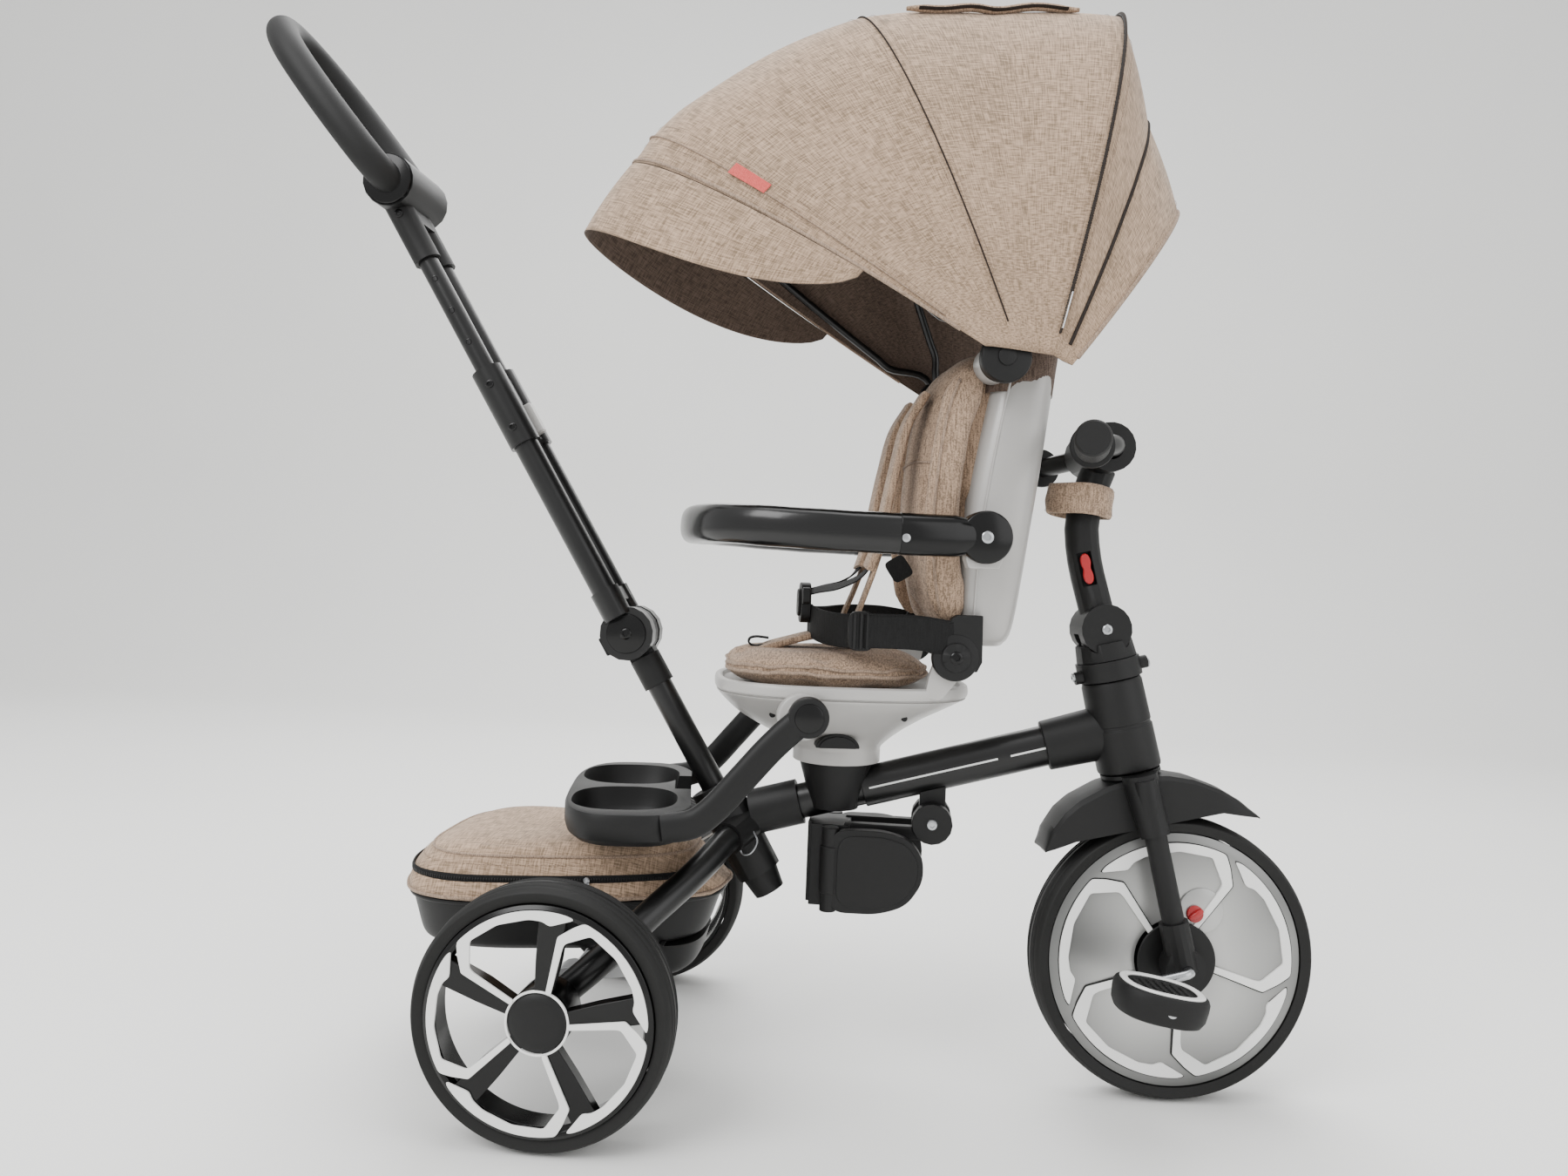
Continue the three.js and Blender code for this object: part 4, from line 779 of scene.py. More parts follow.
def woven(name, light, dark, thread_mm, on_sheet, slub=0.2, roughness=0.9, bump=0.35):
    """A plain weave with slubs, on a sheet's own cloth map or through the solid of a stuffed piece."""
    made, tree, surface = finish_of(name, roughness, 0.0, light, Sheen_Weight=0.3 * linear(light)[0],
                                    Sheen_Roughness=0.6)
    surface.inputs["Specular IOR Level"].default_value = 0.25
    if on_sheet:
        at = shader_node(tree, "ShaderNodeUVMap", uv_map="cloth").outputs["UV"]
    else:
        at = shader_node(tree, "ShaderNodeTexCoord").outputs["Object"]
    fine, long = 1000 / thread_mm, 1000 / (thread_mm * 12)
    stretches = [(fine, long, 1), (long, fine, 1)] if on_sheet else [(fine, fine, long), (fine, long, fine)]
    cloud = shader_node(tree, "ShaderNodeTexNoise", {"Vector": at}, Scale=9.0, Detail=2.0).outputs["Fac"]
    weighed = shader_node(tree, "ShaderNodeMath", {0: cloud}, operation="MULTIPLY")
    weighed.inputs[1].default_value = CLOUD_SHARE
    height = weighed.outputs["Value"]
    even = 1 + CLOUD_SHARE / 2
    for stretch in stretches:
        spun = shader_node(tree, "ShaderNodeMapping", {"Vector": at}, Scale=stretch)
        streak = shader_node(tree, "ShaderNodeTexNoise", {"Vector": spun.outputs["Vector"]}, Scale=1.0,
                             Detail=2.0)
        height = shader_node(tree, "ShaderNodeMath", {0: height, 1: streak.outputs["Fac"]},
                             operation="ADD").outputs["Value"]
    tone = shader_node(tree, "ShaderNodeMapRange", {"Value": height}, From_Min=even - slub, From_Max=even
                       + slub)
    tree.links.new(tone_between(tree, tone.outputs["Result"], dark, light), surface.inputs["Base Color"])
    relief = shader_node(tree, "ShaderNodeBump", {"Height": height}, Strength=bump, Distance=0.0006)
    tree.links.new(relief.outputs["Normal"], surface.inputs["Normal"])
    return made


# Melange polyester: warm beige with short darker slubs both ways. Piping is tighter and a little darker.
# Linings are brown-grey. Webbing is dense black nylon with a fine rib.
stuffed_linen = woven("beige_melange_polyester_on_foam", "#b2977f", "#73604f", 1.5, False)
sheet_linen = woven("beige_melange_polyester_sheet", "#b59a82", "#76634f", 1.6, True)
sheet_lining = woven("brown_grey_polyester_lining", "#66574d", "#43372f", 1.3, True)
sleeve_lining = woven("brown_grey_polyester_sleeve", "#6a5a50", "#453931", 1.3, False)
piping_cloth = woven("beige_bias_piping", "#a38d7a", "#756354", 1.0, False)
dark_piping = woven("black_brown_bias_piping", "#2e2723", "#1d1815", 1.0, False)
nylon_webbing = woven("black_nylon_webbing", "#141414", "#080808", 1.0, False, roughness=0.75, bump=0.5)

seat_y = -np.array(hinges["footrest_tilt"]["axis"])
seat_origin = np.array(hinges["seat_swivel"]["pos_m"]) * (1, 1, 0)
seat_place = turned_place(seat_origin, np.cross(seat_y, (0, 0, 1)), seat_y, (0, 0, 1))


CLOTH_STEPS = 20


def puffed(name, shape, place, voxel_mm=6.0, cap_mm=7.0, pressure=4.0):
    """Foam under cloth: the shape, remeshed and blown up by a cloth simulation, with each point's way capped."""
    points = np.asarray(shape[0], float) @ place[:3, :3].T + place[:3, 3]
    mesh = bpy.data.meshes.new(name)
    mesh.from_pydata(points.tolist(), [], shape[1])
    blank = bpy.data.objects.new(name, mesh)
    bpy.context.scene.collection.objects.link(blank)
    even = blank.modifiers.new("even", "REMESH")
    even.mode = "VOXEL"
    even.voxel_size = voxel_mm / 1000
    even.use_smooth_shade = True
    bpy.context.view_layer.update()
    evaluated = blank.evaluated_get(bpy.context.evaluated_depsgraph_get())
    mesh = bpy.data.meshes.new_from_object(evaluated)
    blank.modifiers.clear()
    blank.data = mesh
    start = np.zeros(len(mesh.vertices) * 3)
    mesh.vertices.foreach_get("co", start)
    start = start.reshape(-1, 3)
    final = start
    cloth = blank.modifiers.new("cloth", "CLOTH")
    cloth.settings.use_pressure = True
    cloth.settings.uniform_pressure_force = pressure
    cloth.settings.effector_weights.gravity = 0
    cloth.settings.quality = 4
    cloth.point_cache.frame_start = 1
    cloth.point_cache.frame_end = CLOTH_STEPS
    for step in range(1, CLOTH_STEPS + 1):
        bpy.context.scene.frame_set(step)
    evaluated = blank.evaluated_get(bpy.context.evaluated_depsgraph_get())
    blown = np.zeros(len(evaluated.data.vertices) * 3)
    evaluated.data.vertices.foreach_get("co", blown)
    move = blown.reshape(-1, 3) - start
    far = np.linalg.norm(move, axis=1, keepdims=True)
    final = start + move * np.minimum(1, cap_mm / 1000 / np.maximum(far, 1e-9))
    blank.modifiers.clear()
    bpy.context.scene.frame_set(1)
    faces = [tuple(f.vertices) for f in mesh.polygons]
    bpy.data.objects.remove(blank)
    return final, faces


# Stuffed pieces are already in metres in the whole object's frame, and what lies on them is in its
# millimetres.
in_place, row_place = np.eye(4), np.diag([0.001, 0.001, 0.001, 1.0])


def snug(path, place, pad, lift):
    """The same path drawn in onto a stuffed pad, as a sewn seam lies, in the whole object's millimetres."""
    skin = BVHTree.FromPolygons([tuple(p) for p in pad[0]], pad[1])
    out = []
    for p in np.asarray(path, float) @ place[:3, :3].T + place[:3, 3]:
        spot, facing, _, _ = skin.find_nearest(Vector(p))
        out.append(np.array(spot + facing * (lift / 1000)) * 1000)
    even = np.array(out)
    return np.concatenate([even[:1], (even[:-2] + 2 * even[1:-1] + even[2:]) / 4, even[-1:]])


def level_ring(z, x, half_x, half_y, count=72, squareness=2.8):
    return [(x + u, v, z) for u, v in oval(half_x, half_y, count, squareness)]


def grown(table, count):
    """Rows of numbers made denser along a smooth curve."""
    table = np.asarray(table, float)
    at = np.linspace(0, len(table) - 1, count)
    out = []
    for s in at:
        i = min(int(s), len(table) - 2)
        t = s - i
        a, b, c, d = table[max(i - 1, 0)], table[i], table[i + 1], table[min(i + 2, len(table) - 1)]
        out.append(0.5 * (2 * b + (c - a) * t + (2 * a - 5 * b + 4 * c - d) * t * t + (3 * b - a - 3 * c + d)
                          * t ** 3))
    return out


# ---- Seat shell and cushion ----
# The bucket is moulded in silver-grey ABS with a groove under its rim, and turns on the cup when the half-
# round button is pressed. The cushion is two cloth panels sewn to a piped edge over foam, with a pad over
# the crotch strap.

# Silver-grey ABS: pale, satin, with a faint metallic warmth.
shell_abs = grained("pale_silver_abs", ("#a7a5a2", "#b4b2af"), 0.33, 0.7, 0.07, metallic=0.12,
                    rough_range=0.04)
bowl = grown([(353.5, 0, 48, 48, 2), (357, 0, 48.3, 48.2, 2), (363, 1, 54, 51.5, 2.05), (377, 7, 76, 70, 2.2),
              (393, 9, 101, 92, 2.4), (406, 5, 120, 107, 2.6), (416, 1, 133, 117, 2.75)], 26)
shell_rings = [level_ring(z, 0, 48, 48, squareness=2.0, count=96) for z in (340.6, 341.4, 352)]
shell_rings[0] = level_ring(340.6, 0, 47, 47, squareness=2.0, count=96)
shell_rings += [level_ring(z, x, a, b, 96, q) for z, x, a, b, q in bowl]
shell_rings += [level_ring(z, 0, 136.5 + d, 121 + d - 2, 96, 2.8)
                for z, d in ((417.4, -1.6), (418, -3.6), (419.2, -3.6), (419.8, -0.6), (422, 0.2), (427, 0.3),
                             (430.4, -0.6), (431.8, -2.6), (432.2, -5), (431, -8), (427, -10), (424, -24))]
shell = outward(lofted(shell_rings))
ears = []
for side in (-1, 1):
    y0, y1 = side * 105 - 4.5, side * 105 + 4.5
    ear = rounded_outline([(-90, 420), (-74, 424), (-78, 446), (-86, 468), (-96, 478), (-108, 478),
                           (-114, 468),
                           (-110, 446), (-98, 430)], 5)
    ears.append(plate(ear, y0, y1, upright))
    ears.append(side_disc(side, 24, 90, 124, 2.5, 51, 402, 56))
    ears.append(side_disc(side, 17, 124, 125.5, 0.6, 51, 402))
piece("seat_bucket", combined(shell, *ears), seat_place, shell_abs, "seat", ["seat_shell"],
      bevel=0.8)
holes = [rounded_disc(3.2, 60, reach, 0.4, (x, 0, 399), 24) for x, reach in ((78, 86.2), (-58, 89.4))]
holes += [mirrored_y(h) for h in holes]
piece("seat_screw_wells", combined(*holes), seat_place, moulded_black, "seat")
half_round = [(8 + 23 * math.cos(a), 364 + 15 * math.sin(a)) for a in np.linspace(0, math.pi, 24)]
button_low = plate(half_round, 52, 74.5, upright)
lip = plate([(8 + (u - 8) * 0.86, 364 + (v - 364) * 0.84) for u, v in half_round], 74, 76.2, upright)
piece("swivel_release_button", combined(button_low, lip), seat_place, moulded_black, "swivel_button",
      ["swivel_button"], bevel=1.2)

cushion_rings = [level_ring(z, 18 + x, a, b, 56, 2.9)
                 for z, x, a, b in grown([(433.2, 0, 96, 86), (436, 0, 107, 97), (443, 0, 112, 103),
                                          (450, 0, 110, 101),
                                          (455, 0, 102, 93), (457, 0, 84, 76)], 9)]
pad = puffed("seat_foam", lofted(cushion_rings), seat_place, 6.0, 6.0, 4.0)
made = piece("seat_pad", pad, in_place, stuffed_linen, "seat", ["seat_cushion"], subdivide=1,
             sharp=180)
seams = [snug(level_ring(z, 18, 116, 107, 120, 2.9), seat_place, pad, 0.6) for z in (439.5, 451.5)]
piping = combined(swept(seams[0], oval(2.1, 2.1, 10), closed=True, up=(0, 0, 1)),
                  swept(seams[1], oval(1.7, 1.7, 10), closed=True, up=(0, 0, 1)))
piece("seat_pad_piping", piping, row_place, piping_cloth, "seat", sharp=180)


def strap(name, points, width, thickness, up, material, body):
    """A flat strap along a path, with its broad side facing up."""
    shape = swept(smooth_path(points, 40), oval(width / 2, thickness / 2, 20, 6.0), up=up)
    return piece(name, outward(shape), seat_place, material, body, sharp=50)


crotch = [(92, 0, 458), (78, 0, 464), (58, 0, 470), (36, 0, 476), (16, 0, 479), (-2, 0, 478), (-24, 0, 471)]
made = strap("crotch_pad", crotch, 46, 8, (0, 0, 1), stuffed_linen, "seat")
loop = [(86, 0, 464), (95, 0, 463), (101, 0, 466), (100, 0, 471), (93, 0, 473), (80, 0, 472)]
strap("crotch_loop", loop, 15, 2.2, (0, 0, 1), nylon_webbing, "seat")

# ---- Harness ----
# A five-point harness of black nylon webbing. The shoulder straps wear beige padded sleeves, the waist belt
# is a wide stiff band with a ladder lock, and a round-cornered buckle joins them in front.

belt_half = [(-98, 119, 485), (-60, 123, 490), (-20, 117, 490), (8, 95, 488), (26, 60, 489), (34, 24, 492)]
belt = belt_half + [(34, 0, 493)] + [(x, -y, z) for x, y, z in reversed(belt_half)]
belt_path = smooth_path(belt, 90)
band = outward(swept(belt_path, oval(1.5, 17.5, 20, 6.0), up=(0, 0, 1)))
piece("waist_band", band, seat_place, nylon_webbing, "seat", ["waist_belt"], sharp=50)
hems = [swept(belt_path + np.array([0, 0, h]), oval(1.9, 1.1, 10), up=(0, 0, 1)) for h in (-16, 16)]
piece("waist_band_hems", combined(*hems), seat_place, nylon_webbing, "seat", sharp=60)
buckle_ring = plate(oval(19, 22, 40, 3.4).tolist(), 0, 12, lambda u, v, h: (36 + h * 0.9, u, 512 + v))
buckle_face = plate(oval(13, 15, 40, 3.0).tolist(), 12, 15, lambda u, v, h: (36 + h * 0.9, u, 512 + v))
buckle_teeth = [plate(oval(5.5, 9, 20, 3.0).tolist(), 2, 10, lambda u, v, h,
                      s=s: (36 + h, s * 22 + u, 520 + v))
                for s in (-1, 1)]
piece("harness_buckle", combined(buckle_ring, buckle_face, *buckle_teeth), seat_place, moulded_black, "seat",
      bevel=1.2)
lock = plate(oval(13, 20, 32, 4.0).tolist(), 0, 5, lambda u, v, h: (-6 + u, 107.5 + h, 489 + v))
bars = [outward(swept(line((-6 + s * 6.5, 113.4, 471), (-6 + s * 6.5, 113.4, 507)), oval(2.0, 2.0, 14)))
        for s in (-1, 0, 1)]
piece("waist_ladder_lock", combined(lock, *bars), seat_place, moulded_black, "seat", bevel=0.8)
# The child faces the pole, so in the seat's own frame the right side is the positive one.
for side, name in ((1, "right"), (-1, "left")):
    shoulder = [(-74, side * 40, 738), (-56, side * 41, 706), (-46, side * 42, 664), (-38, side * 42, 622),
                (-32, side * 40, 584), (-22, side * 36, 552), (-4, side * 28, 534), (16, side * 18, 525)]
    made = strap(f"shoulder_pad_{name}", shoulder[:6], 40, 9, (1, 0, 0.1), stuffed_linen, "backrest")
    tongue = [(-30, side * 38, 566), (-16, side * 34, 545), (4, side * 26, 533), (24, side * 14, 528),
              (38, side * 8, 524)]
    made = strap(f"shoulder_webbing_{name}", tongue, 24, 1.8, (1, 0, 0.6), nylon_webbing, None)
    start, end = (tuple(seat_place[:3, :3] @ at + seat_place[:3, 3]) for at in ((20, 0, 524), (-28, 0, 562)))
    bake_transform(made)
    lower = [(-34, side * 43, 575), (-26, side * 45, 548), (-17, side * 47, 522), (-9, side * 52, 500),
             (-6, side * 60, 486)]
    made = strap(f"lower_strap_{name}", lower, 21, 4.5, (1, 0, 0.3), stuffed_linen, "seat")
hook_square = plate(oval(12, 13, 28, 5.0).tolist(), 0, 3,
                    lambda u, v, h: (-52 + u * 0.8 + v * 0.55, 52 + h, 553 + v * 0.8 - u * 0.5))
piece("strap_hook_tape", hook_square, seat_place, nylon_webbing, "seat", bevel=0.5)

# ---- Backrest, its cushion and the recline bracket ----
# The back shell is the same silver ABS as the bucket. It hangs in a black bracket that lets it lean, and
# carries the round bosses of the bumper bar and the canopy. The cushion is quilted in three, with stuffed
# side wings.


def grown_rings(table, count, ring_of):
    return [ring_of(*row) for row in grown(table, count)]


back_table = [(478, -164, -106, 94), (500, -173, -102, 108), (600, -186, -101, 118), (715, -200, -120, 116),
              (780, -207, -140, 104), (800, -206, -160, 82)]


def back_ring(z, back, front, half, count=88, squareness=3.6):
    return [((back + front) / 2 + u, v, z) for u, v in oval((front - back) / 2, half, count, squareness)]


outer = grown_rings(back_table, 34, back_ring)
first = [((p[0] + 136) * 0.9 - 136, p[1] * 0.96, 476.6) for p in outer[0]]
last = [((p[0] + 183) * 0.8 - 183, p[1] * 0.93, 802.4) for p in outer[-1]]
skin = lofted([first] + outer + [last])
bosses = []
for side in (-1, 1):
    bosses.append(side_disc(side, 19, 101, 135.6, 1.6, -130, 762, 56))
    bosses.append(side_disc(side, 20, 112, 132, 1.6, -119, 587, 56))
piece("back_shell", combined(outward(skin), *bosses), seat_place, shell_abs, "backrest",
      ["backrest_shell"], bevel=0.8)
edge_line = np.array([ring[np.argmax([p[0] * 0.4 + p[1] for p in ring])] for ring in outer[2:-2]])
groove = [swept(edge_line * (1, s, 1), oval(1.3, 1.3, 8), up=(1, 0, 0)) for s in (-1, 1)]
piece("back_shell_edge_bead", combined(*groove), seat_place, shell_abs, "backrest",
      sharp=60)

foam_table = [(490, -150, -96, 80), (507, -160, -86, 94), (560, -168, -76, 98), (600, -172, -72, 100),
              (650, -178, -74, 100), (700, -186, -76, 98), (740, -190, -84, 94), (768, -193, -98, 86),
              (782, -191, -118, 68)]
pad = puffed("back_foam", lofted(grown_rings(foam_table, 26, lambda *r: back_ring(*r, 64, 3.2))), seat_place,
             6.0, 6.5)
made = piece("back_pad", pad, in_place, stuffed_linen, "backrest", ["backrest_cushion"],
             subdivide=1,
             sharp=180)
for side, name in ((-1, "left"), (1, "right")):
    wing_path = smooth_path([(-100, side * 98, 500), (-92, side * 101, 532), (-86, side * 104, 590),
                             (-88, side * 105, 650), (-96, side * 103, 710), (-112, side * 97, 760)], 40)
    reach = [0.35 + 0.65 * min(1, (min(i, 40 - i) / 5) ** 0.5) for i in range(41)]
    wing = outward(swept(wing_path, oval(21, 10.5, 28, 2.3), scale=reach, up=(0, 1.0, 0)))
    stuffed = puffed("wing_foam", wing, seat_place, 5.0, 4.0)
    made = piece(f"back_wing_{name}", stuffed, in_place, stuffed_linen, "backrest",
                 subdivide=1, sharp=180)
    cord_path = wing_path[2:-2] + np.array([11, side * 10.5, 0])
    cord_path = snug(cord_path, seat_place, stuffed, 0.5)
    piece(f"back_wing_piping_{name}", swept(cord_path, oval(1.7, 1.7, 10), up=(0, 1.0, 0)), row_place,
          piping_cloth,
          "backrest", sharp=180)
seams = []
for z in (578, 668):
    arc = [(-66 - 0.0012 * y * y - (4 if z > 600 else 0), y, z - 0.0006 * y * y) for y in np.linspace(-84,
                                                                                                      84, 30)]
    seams.append(swept(snug(arc, seat_place, pad, 0.4), oval(1.5, 1.5, 8), up=(1, 0, 0)))
piece("back_pad_piping", combined(*seams), row_place, piping_cloth, "backrest", sharp=180)

cap_rows = []
for z, back, front, half in grown([(736, -205, -118, 113), (762, -208, -124, 111), (780, -210, -136, 107),
                                   (794, -210, -150, 97), (802, -207, -164, 84), (806, -199, -176, 58)], 20):
    cap_rows.append(back_ring(z, back, front, half, 88, 3.4))
sleeve = lofted(cap_rows, caps=False)
sleeve = (sleeve[0], sleeve[1] + [tuple(len(sleeve[0]) - 88 + i for i in range(88))])
piece("back_top_sleeve", sleeve, seat_place, sleeve_lining, "backrest", sharp=60)

bracket = []
for side in (-1, 1):
    bracket.append(side_disc(side, 24, 110.8, 121.2, 1.8, -102, 466, 56))
    bracket.append(side_disc(side, 15, 121.2, 123.4, 0.8, -102, 466))
    outline = [(-129, 462), (-124, 452), (-96, 452), (-82, 470), (-83, 482), (-97, 506), (-102, 509),
               (-128, 509)]
    bracket.append(plate(outline, *sorted((side * 110.8, side * 120.4)), upright))
axle = outward(swept(line((-102, -118, 466), (-102, 118, 466)), oval(6, 6, 24)))
piece("recline_bracket_moulded", combined(*bracket, axle), seat_place, moulded_black, "backrest",
      ["recline_bracket"], bevel=1.4)
caps = [hex_bolt((-102, side * 123.2, 466), (0, side, 0), 6.5, 2.4) for side in (-1, 1)]
piece("recline_screws", combined(*caps), seat_place, gloss_abs, "backrest")

# ---- Bumper bar ----
# The bar is glossy black EVA foam moulded over a steel core. It plugs into a housing on each side, parted
# by a seam, and each housing is held by a cross-head screw.

# Skinned EVA foam: a glossy black with a long soft highlight that wavers a little.
eva_gloss = grained("glossy_black_eva_bar", ("#070707", "#0c0c0c"), 0.24, 4.0, 0.12, Coat_Weight=0.35,
                    Coat_Roughness=0.18)
bumper_line = [(-112, 148, 587), (-40, 158, 587), (30, 157, 588), (90, 144, 590), (136, 108, 592),
               (158, 56, 592),
               (166, 0, 592), (158, -56, 592), (136, -108, 592), (90, -144, 590), (30, -157, 588),
               (-40, -158, 587),
               (-112, -148, 587)]
bar_line = smooth_path(bumper_line, 150)
middle_run = bar_line[16:-16]
breath = [1 + 0.012 * math.sin(i * 0.55) * (1 if i % 2 else 0.4) for i in range(len(middle_run))]
piece("bumper_bar_foam", outward(swept(middle_run, oval(14, 20, 40, 2.5), scale=breath, up=(0, 0, 1))),
      seat_place,
      eva_gloss, "bumper", ["bumper_bar"], sharp=60)
housings, screws_of, knuckles = [], [], []
for run, side in ((bar_line[:17], 1), (bar_line[-17:][::-1], -1)):
    widths = [0.78 + 0.245 * min(1, i / 5) for i in range(len(run))]
    housings.append(outward(swept(run, oval(14, 20, 40, 2.7), scale=widths, up=(0, 0, 1))))
    housings.append(side_disc(side, 26, 137.5, 160.5, 3.0, -119, 587, 64))
    screws_of.append(hex_bolt((-119, side * 160.3, 587), (0, side, 0), 6.0, 1.6))
    low, high = sorted((side * 134.6, side * 152))
    knuckles.append(plate([(-134, 556), (-104, 556), (-100, 566), (-102, 574), (-136, 574), (-138, 566)],
                          low, high,
                          upright))
piece("bumper_housings", combined(*housings), seat_place, gloss_abs, "bumper", bevel=0.8)
piece("bumper_screws", combined(*screws_of), seat_place, satin_steel, "bumper")
piece("bumper_knuckles", combined(*knuckles), seat_place, shell_abs, "backrest", bevel=2.0)
catches = []
for run, side in ((bar_line[14:18], 1), (bar_line[-18:-14][::-1], -1)):
    at = run[1] + np.array([0, side * 13.2, -4])
    catches.append(rounded_disc(4.2, -1.8, 1.8, 0.8, tuple(at), 28))
piece("bumper_catches", combined(*catches), seat_place, satin_steel, "bumper")

# ---- Footrest ----
# One U-shaped nylon moulding on two arms. Each arm turns on a disc on the side of the bucket, and the tray
# has a rounded cup for each foot with a ribbed floor.


def carved(base, added, taken):
    """One solid: the base with some shapes joined to it and others cut out of it."""
    parts = []
    for shape in [base] + added + taken:
        mesh = bpy.data.meshes.new("block")
        mesh.from_pydata([tuple(p) for p in shape[0]], [], [tuple(f) for f in shape[1]])
        parts.append(bpy.data.objects.new("block", mesh))
        bpy.context.scene.collection.objects.link(parts[-1])
    for k, part in enumerate(parts[1:]):
        step = parts[0].modifiers.new("step", "BOOLEAN")
        step.object, step.solver = part, "EXACT"
        step.operation = "UNION" if k < len(added) else "DIFFERENCE"
    bpy.context.view_layer.update()
    made = bpy.data.meshes.new_from_object(parts[0].evaluated_get(bpy.context.evaluated_depsgraph_get()))
    shape = [tuple(v.co) for v in made.vertices], [tuple(f.vertices) for f in made.polygons]
    for part in parts:
        bpy.data.objects.remove(part)
    bpy.data.meshes.remove(made)
    return shape


tray_half, tray_front = 146, 289
cup_x, cup_y, cup_deep = 226, 64, 27


def tray_ring(z, back, front, half, count=64):
    return [((back + front) / 2 + u, v, z) for u, v in oval((front - back) / 2, half, count, 3.2)]


tray = outward(lofted([tray_ring(272.2, 160, tray_front - 12, tray_half - 12),
                       tray_ring(273.6, 157, tray_front - 8, tray_half - 8),
                       tray_ring(279, 151.5, tray_front - 2, tray_half - 2), tray_ring(286, 150, tray_front,
                                                                                       tray_half),
                       tray_ring(301, 150, tray_front, tray_half), tray_ring(305, 151.5, tray_front - 1.6,
                                                                             tray_half - 1.6),
                       tray_ring(306.2, 154, tray_front - 4.4, tray_half - 4.4)]))
arms, cups = [], []
for side in (-1, 1):
    y = side * (tray_half - 9)
    bend = smooth_path([(45, y, 405), (58, y, 396), (82, y, 373), (108, y, 343), (134, y, 313),
                        (156, y, 296.5), (186, y, 291)], 30)
    arms.append(outward(swept(bend, oval(14.5, 9, 28, 2.5), up=(0, 1.0, 0))))
    arms.append(rounded_disc(20, y - 9, y + 9, 2.5, (46, 0, 404), 48))
    cup = []
    for up in (0.0, 3, 8, 16, 24, 28.5):
        flare = (up / cup_deep) ** 0.6
        cup.append([(cup_x + u, side * (cup_y + 2 * up / cup_deep) + v, 279 + up)
                    for u, v in oval(46 + 8 * flare, 48 + 10 * flare, 56, 2.6)])
    floor_ring = [(cup_x + (x - cup_x) * 0.93, side * cup_y + (v - side * cup_y) * 0.93, 277.6) for x, v,
                  _ in cup[0]]
    cups.append(outward(lofted([floor_ring] + cup)))
room = outward(lofted([[(20, -tray_half + 18, z), (158, -tray_half + 18, z), (158, tray_half - 18, z),
                        (20, tray_half - 18, z)]
                       for z in (262, 332)]))
gap = outward(lofted([[(118, -60, z), (176, -60, z), (176, 14, z), (118, 14, z)] for z in (262, 320)]))
piece("footrest_moulded", carved(tray, arms, cups + [room, gap]), seat_place, moulded_black, "footrest",
      ["footrest_tray"], bevel=1.6, sharp=38)
discs = [side_disc(side, 14.5, 145.8, 148, 1.2, 46, 404, 56) for side in (-1, 1)]
piece("footrest_pivot_caps", combined(*discs), seat_place, gloss_abs, "footrest")
ribs = []
for side in (-1, 1):
    for k in range(-3, 4):
        reach = 36 * math.sqrt(1 - (k / 4.4) ** 2)
        path = line((cup_x + k * 9.5, side * cup_y - reach, 280.2), (cup_x + k * 9.5, side * cup_y + reach,
                                                                     280.2), 8)
        ribs.append(outward(swept(path, oval(1.6, 1.3, 8), scale=[0.3, 0.8, 1, 1, 1, 1, 0.8, 0.3],
                                  up=(0, 0, 1))))
piece("foot_cup_ribs", combined(*ribs), seat_place, pedal_rubber, "footrest")

# ---- Canopy ----
# One sheet of the beige melange is sewn over wire hoops and springs back when it is pushed. A lining, zips,
# piping and a visor are sewn to it. The visor and the band are stiffened and stand on their own; the rest
# sags between hoops.

fans = [(10, -110, 767, 432), (18, -111, 767, 425), (29.7, -113, 766, 414), (40, -120, 765, 419),
        (68, -141, 761, 410), (86, -156, 759, 404), (104, -172, 757, 419), (112.7, -181, 754, 330),
        (127.6, -190, 752, 254)]


def canopy_point(fan, across, lift=0.0):
    """A point of the cloth. fan turns from the visor to the back, across goes over from foot to foot."""
    table = np.array(fans, float)
    foot_x, foot_z, rise = (np.interp(fan, table[:, 0], table[:, k]) for k in (1, 2, 3))
    a, f = math.radians(across), math.radians(fan)
    reach = math.sin(a) * (rise + lift)
    return (foot_x + reach * math.cos(f), math.cos(a) * (168 + lift), foot_z + reach * math.sin(f))


def sag(fan, across):
    """How far the cloth hangs in between two hoops, with a few soft pulls from the seams."""
    span = next((ends for ends in ((29.7, 34), (34, 68), (68, 104), (104, 127.6))
                 if ends[0] <= fan <= ends[1]), None)
    if span is None:
        return 0.0
    belly = math.sin(math.pi * (fan - span[0]) / (span[1] - span[0]))
    a = math.radians(across)
    hang = -5.5 * belly if span[1] - span[0] > 10 else 0.0
    pull = 1.3 * math.sin(9 * a + fan * 0.11) * belly * math.exp(-((across - 90) / 75) ** 2)
    fine = 0.5 * math.sin(23 * a - fan * 0.23) * belly
    return (hang + pull + fine) * math.sin(a) ** 0.5


